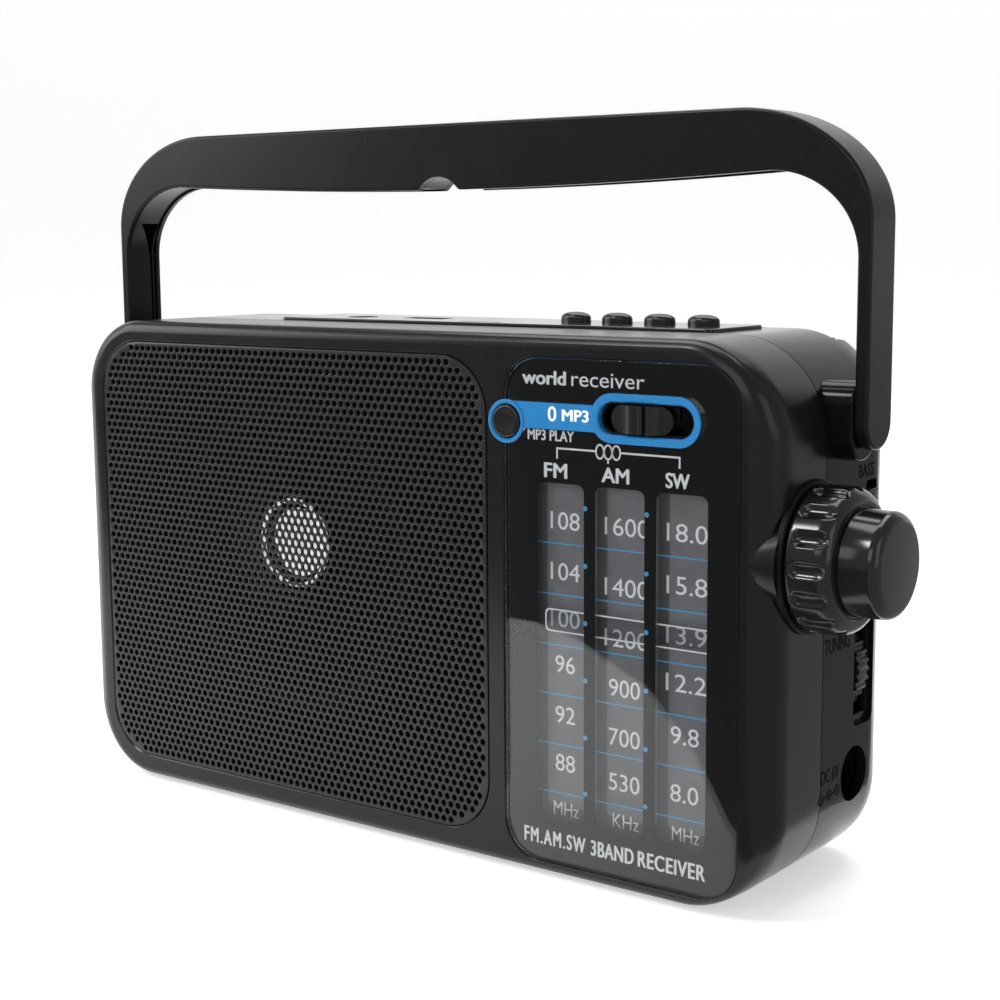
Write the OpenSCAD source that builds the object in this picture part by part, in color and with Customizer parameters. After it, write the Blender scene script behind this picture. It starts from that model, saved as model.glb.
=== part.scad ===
// Portable three-band shortwave receiver with a folding carrying handle.
// X runs to the right, Y to the back, Z up; the origin is the middle of the footprint on the table.

/* [Body] */
// Width of the body
body_w = 210; // [200:1:216]
// Depth of the body
body_d = 60; // [60:1:64]
// Height of the body without its feet
body_h = 122; // [121:0.5:124]
// Corner radius of the body seen from the front
corner_r = 22; // [19:0.5:23]
// Depth of the rounding down both front sides
front_round = 8; // [7:0.5:9]
// Rounding of the top and bottom front edges
front_edge = 3; // [2:0.5:4]
// Rounding down both back sides
back_round = 14; // [13:0.5:15]
// Wall of the moulded shells
wall = 2.2; // [2:0.1:2.4]
// Place of the seam between front and back shell
seam_y = -7; // [-7.5:0.5:-6.5]
// Height of the rubber feet under the body
foot_h = 1; // [0.8:0.1:1.5]

/* [Front] */
// Width of the perforated grille
grille_w = 127; // [124:0.5:127]
// Height of the perforated grille
grille_h = 110.5; // [106:0.5:111]
// Corner radius of the grille
grille_r = 13; // [10:0.5:15]
// Width of the dial lens
dial_w = 59.8; // [58:0.1:60]
// Height of the dial lens
dial_h = 114; // [112:0.5:114]
// Corner radius of the dial lens
dial_r = 9; // [7:0.5:10]
// Width of one dial window
window_w = 12.7; // [11:0.1:13]
// Height of the dial windows
window_h = 76.3; // [72:0.1:77]
// Height of the pointer bar
pointer_h = 5.5; // [4:0.5:6]

/* [Speaker] */
// Outer radius of the speaker frame
speaker_r = 46; // [43:0.5:46]
// Radius of the dust cap
dust_cap_r = 11.1; // [9:0.1:12]
// Radius of the magnet
magnet_r = 24; // [20:0.5:25]

/* [Tuning] */
// Radius of the grip ring
ring_r = 15.6; // [14.5:0.1:16]
// Length of the grip ring
ring_l = 9.9; // [9:0.1:10.5]
// Radius of the smooth knob cap
cap_r = 11.3; // [10:0.1:12]
// Length of the smooth knob cap
cap_l = 9; // [7:0.5:9.5]
// Number of grip recesses round the ring
ring_recesses = 15; // [12:1:16]
// Radius of the drum on the tuning capacitor
drum_r = 19.7; // [18:0.1:20]

/* [Handle] */
// Outer width of the carrying handle
handle_w = 227.2; // [226:0.2:230]
// Height of the grip's top over the hinge
handle_rise = 66; // [63:0.5:68]
// Depth of the handle, front to back
handle_d = 12; // [10:0.5:12]
// Thickness of the handle arms
arm_t = 3.2; // [3:0.1:3.6]
// Height of the grip at its ends
grip_h = 13.4; // [12:0.2:14.4]
// Height of the hinge over the table
hinge_z = 105; // [104:0.5:106]
// Radius of the hinge stubs
stub_r = 3; // [2.5:0.1:3.2]

/* [Controls] */
// Length of one top button
button_l = 8; // [7:0.1:9]
// Spacing of the top buttons
button_step = 11.8; // [11:0.1:12.5]
// How far the top buttons stand out
button_h = 2.4; // [2:0.1:3]
// Radius of the volume wheel
wheel_r = 12; // [11:0.5:12]
// Number of teeth round the volume wheel
wheel_teeth = 36; // [30:1:40]

/* [Power] */
// Diameter of one cell
cell_d = 26; // [24:0.5:26]
// Length of one cell
cell_l = 50; // [48:0.5:50]
// Radius of the DC inlet in the side wall
inlet_r = 6.3; // [6:0.1:6.5]

/* [Antenna] */
// Length of the widest antenna tube
antenna_l = 150; // [140:1:152]
// Radius of the widest antenna tube
antenna_r = 3; // [2.8:0.1:3.2]

/* [Hidden] */

$fn = 48;
eps = 0.01;
half_w = body_w / 2;
front_y = -body_d / 2;
back_y = body_d / 2;
base_z = foot_h;
top_z = foot_h + body_h;
mid_z = base_z + body_h / 2;
back_edge = 5;
round_steps = 6;
corner_steps = 10;

grille_x = -31.4;
grille_z = mid_z + 0.3;
grille_t = 0.8;
grille_recess = 1;

dial_x = 67.2;
dial_z = mid_z - 1;
lens_t = 1.2;
mask_t = 0.2;
dial_recess = lens_t + mask_t;
window_z = dial_z - 8.65;
window_step = 15.55;
window_r = 1.8;
scale_y = -25.2;
scale_t = 0.8;
pointer_y = -27.3;
pointer_t = 1;
pointer_z = 59.4;
rail_x = 94.5;
rail_y = -24.6;
rail_r = 1;

slot_x = 74.35;
slot_z = 105.7;
slot_w = 23.8;
slot_h = 7.1;
trim_w = 27.2;
trim_h = 10.7;
play_x = 38;
play_z = 103.6;
play_r = 3.7;
play_ring_r = 4.9;
band_z0 = 102.4;
band_h = 5.8;
trim_rise = 0.3;
band_knob_w = 15.4;
band_knob_x = slot_x - 1.15;

speaker_x = grille_x;
speaker_z = 66;
speaker_y = front_y + wall;
cone_r = 36;
basket_back_y = -9;
magnet_t = 8.4;

knob_y = -12.4;
knob_z = 77.1;
ring_x = half_w + 1.2;
cap_x = ring_x + ring_l;
spindle_r = 3;
cord_r = 4;
drum_x = 61;
drum_z = 49;
drum_y = -20;
drum_t = 3;

board_y = -4;
board_t = 1.6;
board_x0 = 27;
board_x1 = 97.4;
board_z0 = 10;
board_z1 = 112;

wheel_x = half_w + 0.3 - wheel_r;
wheel_y = 10.5;
wheel_t = 5;
wheel_z = 47.8;
pot_r = 8;

bass_y = 15;
bass_z = 84.6;
bass_slot_h = 12;
bass_slot_w = 5.4;

screw_r = 1.4;

inlet_y = 9;
inlet_z = 25;

button_x = 29.4;
button_y = 10;
button_w = 5.2;
panel_x0 = -54;
panel_x1 = 75.5;
panel_y0 = -5;
panel_y1 = 19.4;
panel_t = 1.8;
panel_rise = 0.7;
panel_top = top_z + panel_rise;
phones_x = -34;
phones_y = 5;
phones_r = 1.8;
phones_mouth_r = 4;
usb_x = -14;
usb_y = 7;
usb_w = 13.4;
usb_d = 5.8;
card_x = 9.4;
card_y = -1.6;
card_w = 12.4;
card_d = 1.5;

handle_half = handle_w / 2;
handle_top = hinge_z + handle_rise;
arm_in = handle_half - arm_t;
// half axes of the oval corners, outside and inside, and how far the grip's underside sags
outer_a = 32;
outer_b = 24;
inner_a = 21;
inner_b = 18.5;
grip_sag = 2.4;
notch_drop = 20.2;
hinge_gap = 0.3;
block_w = 11;
block_h = 17;
block_in = 100.5;
block_out = arm_in - hinge_gap;
stub_in = block_in - 0.3;
stub_bore = stub_r + 0.06;
cover_w = 8.4;
cover_t = 1;

bay_x0 = -87;
bay_x1 = 19;
bay_z0 = 7;
bay_z1 = 60.5;
bay_y0 = 1.6;
bay_wall = 1.4;
cell_y = 14.8;
door_x0 = -86;
door_x1 = 18;
door_z0 = 8;
door_z1 = 60;
door_t = 2;
door_gap = 0.3;
door_pin_y = back_y - door_t / 2;
door_pin_z = door_z0 + door_gap + door_t / 2;
door_pin_r = 0.5;

notch_y0 = 20.6;
notch_z0 = 113.2;
notch_x = 92.5;
antenna_x = 85.5;
antenna_y = 25.4;
antenna_z = 117.6;
tube_r = [antenna_r, antenna_r - 0.6, antenna_r - 1.15, antenna_r - 1.65];
tube_bore = [antenna_r - 0.55, antenna_r - 1.1, antenna_r - 1.6, 0];
tube_step = 3;

screw_places = [[-94, 11], [94, 11], [-88, 104], [91.5, 106], [24.5, 66]];
foot_places = [[-80, -18], [80, -18], [-80, 16], [80, 16]];

// ---------- shared shapes ----------

// rounded rectangle centred on the origin
module rounded(w, h, r) {
    square([w - 2 * r, h], center = true);
    square([w, h - 2 * r], center = true);
    for (sx = [-1, 1], sy = [-1, 1])
        translate([sx * (w / 2 - r), sy * (h / 2 - r)]) circle(r);
}

// plate standing in the XZ plane between two depths, from a flat drawing in X and Z
module upright(y0, y1) {
    translate([0, y1, 0]) rotate([90, 0, 0]) linear_extrude(y1 - y0) children();
}

// rod along Y, from depth y0 to y1
module rod_y(x, z, r, y0, y1) {
    translate([x, y0, z]) rotate([-90, 0, 0]) cylinder(r = r, h = y1 - y0);
}

// rod along X, from x0 to x1
module rod_x(y, z, r, x0, x1) {
    translate([x0, y, z]) rotate([0, 90, 0]) cylinder(r = r, h = x1 - x0);
}

// block between two opposite corners
module block(a, b) {
    translate(a) cube(b - a);
}

// inset of an edge that is rounded over depth d and is t in from its start
function round_inset(r, d, t) = t >= d ? 0 : t <= 0 ? r : r * (1 - sqrt(1 - pow(1 - t / d, 2)));

// depths at which the body's outline is drawn, drawn in by a margin
function body_depths(margin) = concat(
    [for (i = [0:round_steps]) front_y + margin + front_round * (1 - cos(90 * i / round_steps))],
    [for (i = [round_steps:-1:0]) back_y - margin - back_round * (1 - cos(90 * i / round_steps))]);

// larger of the front and back insets at depth y
function body_inset(front_r, back_r, y, margin) = max(
    round_inset(front_r, front_r, y - front_y - margin),
    round_inset(back_r, back_r, back_y - margin - y));

// outline of the body at depth y, as a ring of points
function body_ring(y, margin) =
    let (dx = body_inset(front_round, back_round, y, margin))
    let (dz = body_inset(front_edge, back_edge, y, margin))
    let (r = max(corner_r - margin - max(dx, dz), 6))
    let (a = body_w / 2 - margin - dx - r, c = body_h / 2 - margin - dz - r)
    [for (q = [0:3], k = [0:corner_steps])
        [(q == 0 || q == 3 ? a : -a) + r * cos(90 * (q + k / corner_steps)), y,
            mid_z + (q < 2 ? c : -c) + r * sin(90 * (q + k / corner_steps))]];

// the whole body as one rounded solid, drawn in by a margin
module body_solid(margin) {
    depths = body_depths(margin);
    n = 4 * (corner_steps + 1);
    last = len(depths) - 1;
    walls = [for (j = [0:last - 1], i = [0:n - 1], side = [0, 1])
        let (low = j * n, next = (i + 1) % n)
        side == 0 ? [low + i, low + next, low + n + next] : [low + i, low + n + next, low + n + i]];
    front_cap = [for (i = [0:n - 1]) n - 1 - i];
    back_cap = [for (i = [0:n - 1]) last * n + i];
    polyhedron([for (y = depths) each body_ring(y, margin)], concat(walls, [front_cap], [back_cap]));
}

module grille_outline(grow = 0) {
    translate([grille_x, grille_z]) rounded(grille_w + 2 * grow, grille_h + 2 * grow, grille_r + grow);
}

module dial_outline(grow = 0) {
    translate([dial_x, dial_z]) rounded(dial_w + 2 * grow, dial_h + 2 * grow, dial_r + grow);
}

module windows_outline() {
    for (i = [-1:1]) translate([dial_x + i * window_step, window_z]) rounded(window_w, window_h, window_r);
}

module slot_outline(w = slot_w, h = slot_h) {
    translate([slot_x, slot_z]) rounded(w, h, h / 2 - eps);
}

// outline of the blue inlay: ring, band and stadium
module trim_outline(grow = 0) {
    slot_outline(trim_w + 2 * grow, trim_h + 2 * grow);
    translate([play_x, play_z]) circle(play_ring_r + grow);
    translate([play_x, band_z0 - grow]) square([slot_x - trim_w / 2 + 3 - play_x, band_h + 2 * grow]);
}

module trim_openings() {
    slot_outline();
    translate([play_x, play_z]) circle(play_r + 0.2);
}

// hollow of the battery bay with its walls
module bay(grow) {
    block([bay_x0 - grow, bay_y0 - grow, bay_z0 - grow], [bay_x1 + grow, back_y - 3, bay_z1 + grow]);
}

// rear step in which the antenna lies
module antenna_notch(grow) {
    block([-half_w - 1, notch_y0 - grow, notch_z0 - grow], [notch_x + grow, back_y + 1, top_z + 1]);
}

// stadium block that carries one end of the handle
module pivot_block(grow) {
    rotate([90, 0, 90]) translate([0, hinge_z, block_in])
        linear_extrude(block_out - block_in) rounded(block_w + 2 * grow, block_h + 2 * grow, 5);
}

module volume_window() {
    block([half_w - 10, wheel_y - 0.6, wheel_z - 10], [half_w + 5, wheel_y + wheel_t + 0.6, wheel_z + 10]);
    block([half_w - 1.2, wheel_y - 2.4, wheel_z - 12.2],
          [half_w + 5, wheel_y + wheel_t + 2.6, wheel_z + 12.2]);
}

module side_ports() {
    rod_x(knob_y, knob_z, spindle_r + 2, half_w - 8, half_w + 2);
    rod_x(inlet_y, inlet_z, inlet_r, half_w - 8, half_w + 2);
    volume_window();
    block([half_w - 8, bass_y - bass_slot_w / 2, bass_z - bass_slot_h / 2],
        [half_w + 5, bass_y + bass_slot_w / 2, bass_z + bass_slot_h / 2]);
}

module top_ports() {
    translate([phones_x, phones_y, top_z - 6]) cylinder(r = phones_mouth_r, h = 10);
    block([usb_x - usb_w / 2, usb_y - usb_d / 2, top_z - 6],
          [usb_x + usb_w / 2, usb_y + usb_d / 2, top_z + 5]);
    block([card_x - card_w / 2, card_y - card_d / 2, top_z - 6],
          [card_x + card_w / 2, card_y + card_d / 2, top_z + 5]);
    for (i = [0:3]) translate([button_x + i * button_step, button_y, top_z - 6])
        linear_extrude(12) scale_oval(button_l / 2 + 0.3, button_w / 2 + 0.3);
}

// oval from a half length and a half width
module scale_oval(a, b) {
    polygon([for (k = [0:47]) [a * cos(k * 7.5), b * sin(k * 7.5)]]);
}

// ---------- shells ----------

// cone on the front right corner that hides the gap behind the tuning ring
module knob_fairing() {
    hull() {
        translate([96.5, front_y + 4.8, knob_z]) rotate([0, 90, 0])
            cylinder(r = 4.6, h = eps, $fn = 32);
        translate([half_w - eps, front_y + 10.6, knob_z]) rotate([0, 90, 0])
            cylinder(r = 10.4, h = eps, $fn = 32);
    }
}

module front_shell() color([0.05, 0.05, 0.055]) {
    difference() {
        union() {
            intersection() {
                body_solid(0);
                block([-200, -100, -10], [200, seam_y - 0.15, 300]);
            }
            knob_fairing();
        }
        difference() {
            body_solid(wall);
            for (p = screw_places) rod_y(p[0], p[1], 3, front_y, seam_y + 1);
        }
        for (p = screw_places) rod_y(p[0], p[1], screw_r + 0.05, seam_y - 6, seam_y);
        upright(front_y - 5, front_y + grille_recess) grille_outline(0.25);
        upright(front_y - 5, front_y + dial_recess) {
            dial_outline(0.15);
            trim_outline(0.05);
        }
        rod_y(speaker_x, speaker_z, cone_r + 4, front_y - 1, front_y + 10);
        translate([dial_x, 0, window_z]) upright(front_y, front_y + 6) rounded(49, 80, 3);
        upright(front_y, front_y + 6) slot_outline(slot_w - 1, slot_h - 1);
        rod_y(play_x, play_z, play_r + 0.2, front_y, front_y + 6);
        side_ports();
    }
}

module back_shell() color([0.06, 0.06, 0.065]) difference() {
    intersection() {
        body_solid(0);
        block([-200, seam_y + 0.15, -10], [200, 100, 300]);
    }
    difference() {
        body_solid(wall);
        bay(bay_wall);
        antenna_notch(wall);
        for (p = screw_places) rod_y(p[0], p[1], 3.4, seam_y - 1, back_y);
    }
    bay(0);
    antenna_notch(0);
    block([door_x0, back_y - 8, door_z0], [door_x1, back_y + 1, door_z1]);
    rod_x(door_pin_y, door_pin_z, door_pin_r + 0.06, door_x0 - 1, door_x1 + 1);
    for (p = screw_places) {
        rod_y(p[0], p[1], 1.7, seam_y - 1, back_y + 1);
        rod_y(p[0], p[1], 2.7, back_y - 6, back_y + 1);
    }
    for (s = [0, 1]) mirror([s, 0, 0]) pivot_block(0);
    side_ports();
    block([panel_x0 - 0.1, panel_y0 - 0.1, panel_top - panel_t], [panel_x1 + 0.1, panel_y1 + 0.1, top_z + 5]);
    top_ports();
    translate([antenna_x, antenna_y, notch_z0 - wall - 1]) cylinder(r = 2.05, h = 10);
}

module top_panel() color([0.1, 0.1, 0.105]) difference() {
    translate([(panel_x0 + panel_x1) / 2, (panel_y0 + panel_y1) / 2, panel_top - panel_t])
        linear_extrude(panel_t) rounded(panel_x1 - panel_x0, panel_y1 - panel_y0, 2);
    top_ports();
}

module handle_blocks() color([0.05, 0.05, 0.055]) for (s = [0, 1]) mirror([s, 0, 0]) difference() {
    pivot_block(0);
    rod_x(0, hinge_z, stub_bore, block_in - 1, block_out + 1);
}

module rubber_feet() color([0.12, 0.12, 0.12]) {
    for (p = foot_places) translate([p[0], p[1], 0]) cylinder(r = 5, h = foot_h);
    block([-9, -4, 0], [9, 18, foot_h]);
}

module case_screws() color([0.6, 0.6, 0.62]) for (p = screw_places) difference() {
    union() {
        rod_y(p[0], p[1], screw_r, seam_y - 5, back_y - 6);
        rod_y(p[0], p[1], 2.6, back_y - 6, back_y - 4);
    }
    upright(back_y - 5, back_y) translate([p[0], p[1]]) {
        square([3.4, 0.7], center = true);
        square([0.7, 3.4], center = true);
    }
}

// ---------- front pieces ----------

module speaker_grille() color([0.1, 0.1, 0.1])
    upright(front_y + grille_recess - grille_t, front_y + grille_recess) grille_outline();

module dial_lens() color([0.75, 0.78, 0.8, 0.3]) upright(front_y, front_y + lens_t) difference() {
    dial_outline();
    trim_outline(0.1);
}

module dial_mask() color([0.13, 0.13, 0.14]) upright(front_y + lens_t, front_y + dial_recess) difference() {
    dial_outline(-0.2);
    windows_outline();
    trim_outline(0.1);
}

module dial_scale() color([0.4, 0.4, 0.42])
    block([42, scale_y, 12], [91, scale_y + scale_t, 94]);

module blue_trim() color([0.15, 0.5, 0.85]) {
    upright(front_y, front_y + dial_recess) difference() {
        trim_outline();
        trim_openings();
    }
    upright(front_y - trim_rise, front_y) difference() {
        union() {
            slot_outline(trim_w, trim_h);
            translate([play_x, play_z]) circle(play_ring_r);
        }
        trim_openings();
    }
}

module dial_pointer() color([0.85, 0.85, 0.88]) difference() {
    union() {
        block([46.5, pointer_y, pointer_z - pointer_h / 2],
              [93, pointer_y + pointer_t, pointer_z + pointer_h / 2]);
        block([92, pointer_y, pointer_z - 4], [97, rail_y + 2, pointer_z + 4]);
    }
    translate([rail_x, rail_y, pointer_z - 5]) cylinder(r = rail_r + 0.06, h = 10);
}

module pointer_rails() color([0.7, 0.7, 0.72]) {
    translate([rail_x, rail_y, 15]) cylinder(r = rail_r, h = 82);
    for (z = [14.2, 94]) block([rail_x - 2, front_y + wall + 0.1, z], [rail_x + 1.2, rail_y + 1.6, z + 3]);
}

// ---------- speaker ----------

module speaker_basket() color([0.5, 0.5, 0.52]) translate([speaker_x, 0, speaker_z]) difference() {
    rotate([-90, 0, 0]) rotate_extrude() polygon([
        [cone_r + 3, speaker_y], [speaker_r, speaker_y], [speaker_r, speaker_y + 1.2],
        [cone_r + 5, speaker_y + 1.2], [magnet_r + 3, basket_back_y - 1], [magnet_r + 3, basket_back_y],
        [11.6, basket_back_y], [11.6, basket_back_y - 1], [magnet_r + 1, basket_back_y - 1.2],
        [cone_r + 3, speaker_y + 1.4]]);
    for (k = [0:5]) rotate([0, 60 * k + 30, 0]) translate([0, -15.5, 0])
        cube([15, 7, 90], center = true);
}

module speaker_surround() color([0.08, 0.08, 0.08]) translate([speaker_x, 0, speaker_z])
    rotate([-90, 0, 0]) rotate_extrude() translate([cone_r - 1, speaker_y + 0.6]) difference() {
        translate([0, -0.3]) square([4, 0.9]);
        translate([1.6, 1.2]) circle(1);
    }

module speaker_cone() color([0.16, 0.16, 0.17]) translate([speaker_x, 0, speaker_z])
    rotate([-90, 0, 0]) rotate_extrude() polygon([
        [cone_r - 1, speaker_y + 0.5], [cone_r - 1, speaker_y + 1],
        [dust_cap_r - 1, speaker_y + 8.2], [dust_cap_r - 1, basket_back_y + 2],
        [dust_cap_r - 1.6, basket_back_y + 2], [dust_cap_r - 1.6, speaker_y + 7.6]]);

module dust_cap() color([0.75, 0.76, 0.78]) translate([speaker_x, speaker_y + 6.4, speaker_z]) difference() {
    intersection() {
        translate([0, 16, 0]) sphere(r = 19.4, $fn = 96);
        rod_y(0, 0, dust_cap_r, -8, 0);
    }
    translate([0, 16, 0]) sphere(r = 18.8, $fn = 96);
}

module speaker_magnet() color([0.3, 0.3, 0.3]) translate([speaker_x, 0, speaker_z]) difference() {
    union() {
        rod_y(0, 0, magnet_r, basket_back_y, basket_back_y + magnet_t);
        rod_y(0, 0, dust_cap_r - 2.2, basket_back_y - 4, basket_back_y);
    }
    rotate([-90, 0, 0]) rotate_extrude() translate([dust_cap_r - 1.9, basket_back_y - 1]) square([1.2, 4]);
}

module speaker_screws() color([0.7, 0.7, 0.7]) for (k = [0:3])
    rotate_about(speaker_x, speaker_z, 45 + 90 * k) {
        rod_y(speaker_r + 1.6, 0, 1.2, speaker_y, speaker_y + 1.2);
        rod_y(speaker_r + 1.6, 0, 2.4, speaker_y + 1.2, speaker_y + 2.6);
    }

// children turned about a rod along Y
module rotate_about(x, z, angle) {
    translate([x, 0, z]) rotate([0, angle, 0]) children();
}

// ---------- electronics ----------

module main_board() color([0.1, 0.35, 0.2]) difference() {
    block([board_x0, board_y, board_z0], [board_x1, board_y + board_t, board_z1]);
    for (p = screw_places) rod_y(p[0], p[1], 4.2, board_y - 1, board_y + 3);
}

module media_board() color([0.1, 0.2, 0.4])
    block([panel_x0 + 6, panel_y0 + 1.2, top_z - 13], [25, panel_y0 + 2.4, top_z - 8.4]);

module tuning_capacitor() color([0.85, 0.85, 0.8]) difference() {
    union() {
        block([drum_x - 10, -13.4, drum_z - 10], [drum_x + 10, board_y, drum_z + 10]);
        rod_y(drum_x, drum_z, 4.5, -15.4, -13.4);
    }
    rod_y(drum_x, drum_z, spindle_r + 0.05, -16, -8);
}

module band_switch() color([0.7, 0.7, 0.72]) difference() {
    block([slot_x - 13, -22, slot_z - 4], [slot_x + 13, board_y, slot_z + 4]);
    block([slot_x - 10, -23, slot_z - 2.1], [slot_x + 10, -16, slot_z + 2.1]);
}

module if_cans() color([0.75, 0.76, 0.78]) for (i = [0:3])
    block([32 + 9 * i, board_y - 9, 14], [38.5 + 9 * i, board_y, 20.5]);

module board_capacitors() color([0.15, 0.2, 0.45]) for (i = [0:2])
    rod_y(84, 14 + 9 * i, 3.2, board_y - 10, board_y);

module ferrite_rod() color([0.15, 0.14, 0.14]) rod_x(12.4, 100.6, 4, -76, 14);

module ferrite_coil() color([0.7, 0.4, 0.2]) tube_x(12.4, 100.6, 4.1, 5.2, -70, -36);

// tube along X between two radii
module tube_x(y, z, r_in, r_out, x0, x1) {
    difference() {
        rod_x(y, z, r_out, x0, x1);
        rod_x(y, z, r_in, x0 - 1, x1 + 1);
    }
}

module dc_jack() color([0.1, 0.1, 0.1]) {
    difference() {
        block([half_w - 17, inlet_y - 6.9, inlet_z - 6.9],
              [half_w - wall - 0.8, inlet_y + 6.9, inlet_z + 6.9]);
        rod_x(inlet_y, inlet_z, inlet_r, half_w - 6.2, half_w);
        rod_x(inlet_y, inlet_z, 2.9, half_w - 15, half_w);
    }
    rod_x(inlet_y, inlet_z, 1.05, half_w - 15.5, half_w - 7);
}

module headphone_jack() color([0.2, 0.2, 0.21]) difference() {
    block([phones_x - 5, phones_y - 5, top_z - 17], [phones_x + 5, phones_y + 5, top_z - wall - 0.1]);
    translate([phones_x, phones_y, top_z - 15]) cylinder(r = phones_r, h = 20);
}

module usb_port() color([0.75, 0.76, 0.78]) {
    difference() {
        block([usb_x - 6.6, usb_y - 2.8, top_z - 16], [usb_x + 6.6, usb_y + 2.8, panel_top - 0.4]);
        block([usb_x - 6.3, usb_y - 2.5, top_z - 15], [usb_x + 6.3, usb_y + 2.5, top_z + 5]);
    }
    block([usb_x - 5.5, usb_y + 0.2, top_z - 15.5], [usb_x + 5.5, usb_y + 2, top_z - 4.6]);
}

module card_reader() color([0.75, 0.76, 0.78]) difference() {
    block([card_x - 7, card_y - 0.9, top_z - 17], [card_x + 7, card_y + 1.6, top_z - wall - 0.1]);
    block([card_x - 5.6, card_y - 0.4, top_z - 16], [card_x + 5.6, card_y + 0.4, top_z]);
}

module bass_switch() color([0.7, 0.7, 0.72]) difference() {
    block([half_w - 10, bass_y - 3.6, bass_z - 8], [half_w - wall - 1, bass_y + 3.6, bass_z + 8]);
    block([half_w - 8, bass_y - 1.6, bass_z - 4.6], [half_w, bass_y + 1.6, bass_z + 4.6]);
}

module volume_pot() color([0.6, 0.6, 0.62]) difference() {
    rod_y(wheel_x, wheel_z, pot_r, board_y + board_t, wheel_y - 0.6);
    rod_y(wheel_x, wheel_z, 2.5 + 0.05, 2, wheel_y);
}

module button_switches() color([0.2, 0.2, 0.21]) {
    for (i = [0:3]) translate([button_x + i * button_step, button_y, top_z - 9])
        translate([-3, -3, 0]) cube([6, 6, 4]);
    block([button_x - 6, button_y - 4, top_z - 10.4],
          [button_x + 3 * button_step + 6, button_y + 4, top_z - 9]);
    block([play_x - 3, -24, play_z - 3], [play_x + 3, -20, play_z + 3]);
}

// ---------- battery bay ----------

module battery_cells() color([0.2, 0.35, 0.6])
    for (i = [0, 1], z = [bay_z0 + cell_d / 2 + 0.4, bay_z1 - cell_d / 2 - 0.4])
        translate([bay_x0 + 4.4 + i * (cell_l + 0.1), 0, 0]) {
            rod_x(cell_y, z, cell_d / 2, 0, cell_l - 1.5);
            rod_x(cell_y, z, 3.6, cell_l - 1.5, cell_l);
        }

module battery_springs() color([0.8, 0.8, 0.82])
    for (z = [bay_z0 + cell_d / 2 + 0.4, bay_z1 - cell_d / 2 - 0.4]) {
        block([bay_x0, cell_y - 7, z - 7], [bay_x0 + 0.4, cell_y + 7, z + 7]);
        for (k = [0:3]) translate([bay_x0 + 0.8 + k, cell_y, z]) rotate([0, 90, 0])
            rotate_extrude() translate([6 - k, 0]) circle(0.42, $fn = 16);
    }

module battery_plates() color([0.8, 0.8, 0.82])
    block([bay_x1 - 0.5, cell_y - 7, bay_z0 + 6], [bay_x1, cell_y + 7, bay_z1 - 6]);

module battery_door() color([0.06, 0.06, 0.065]) {
    difference() {
        union() {
            block([door_x0 + door_gap, back_y - door_t, door_pin_z],
                  [door_x1 - door_gap, back_y, door_z1 - door_gap]);
            rod_x(door_pin_y, door_pin_z, door_t / 2, door_x0 + door_gap, door_x1 - door_gap);
        }
        translate([(door_x0 + door_x1) / 2, back_y + 5, door_z1 - 7]) sphere(r = 6.2, $fn = 64);
        for (i = [-2:2])
            block([door_x0 + 30 + i * 3, back_y - 0.6, door_z0 + 14],
                  [door_x0 + 31 + i * 3, back_y + 1, door_z0 + 38]);
    }
    rod_x(door_pin_y, door_pin_z, door_pin_r, door_x0 - 0.9, door_x1 + 0.9);
}

// ---------- tuning ----------

module tuning_ring() color([0.09, 0.09, 0.095]) translate([0, knob_y, knob_z]) difference() {
    rotate([0, 90, 0]) rotate_extrude($fn = 96) polygon(concat(
        [[spindle_r - 0.2, ring_x], [ring_r - 0.5, ring_x], [ring_r, ring_x + 0.6]],
        [for (k = [0:6]) [ring_r - 3.4 * (1 - cos(15 * k)), cap_x - 3.2 + 3.2 * sin(15 * k)]],
        [[spindle_r - 0.2, cap_x]]));
    for (k = [0:ring_recesses - 1]) rotate([360 / ring_recesses * k, 0, 0]) translate([ring_x, 0, ring_r]) {
        translate([3, 0, 0]) rotate([0, 90, 0]) cylinder(r = 1.45, h = 3.6, $fn = 24);
        translate([3, 0, 0]) sphere(r = 1.45, $fn = 24);
        translate([6.6, 0, 0]) sphere(r = 1.45, $fn = 24);
    }
}

module tuning_cap() color([0.08, 0.08, 0.085]) translate([cap_x, knob_y, knob_z])
    rotate([0, 90, 0]) rotate_extrude($fn = 96) polygon(concat(
        [[0, 0], [cap_r - 0.4, 0], [cap_r, 0.5]],
        [for (k = [0:6]) [cap_r - 3 * (1 - cos(15 * k)), cap_l - 2.6 + 2.4 * sin(15 * k)]],
        [[0, cap_l]]));

module tuning_spindle() color([0.75, 0.76, 0.78]) {
    rod_x(knob_y, knob_z, spindle_r - 0.2, ring_x - 1, cap_x);
    rod_x(knob_y, knob_z, spindle_r, 60, ring_x - 1);
    rod_x(knob_y, knob_z, cord_r, 70, 76);
}

module spindle_bracket() color([0.7, 0.7, 0.72]) difference() {
    for (x = [63, 94]) block([x, -19, knob_z - 8], [x + 2, board_y, knob_z + 8]);
    rod_x(knob_y, knob_z, spindle_r + 0.05, 50, 100);
}

module capacitor_drum() color([0.85, 0.85, 0.82]) difference() {
    union() {
        rod_y(drum_x, drum_z, drum_r - 1, drum_y, drum_y + drum_t);
        rod_y(drum_x, drum_z, drum_r, drum_y, drum_y + 0.8);
        rod_y(drum_x, drum_z, drum_r, drum_y + drum_t - 0.8, drum_y + drum_t);
        rod_y(drum_x, drum_z, spindle_r, drum_y, -9);
    }
    for (k = [0:3]) rotate_about(drum_x, drum_z, 90 * k + 45)
        rod_y(11, 0, 4.5, drum_y - 1, drum_y + drum_t + 1);
}

// ---------- side and front controls ----------

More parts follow.
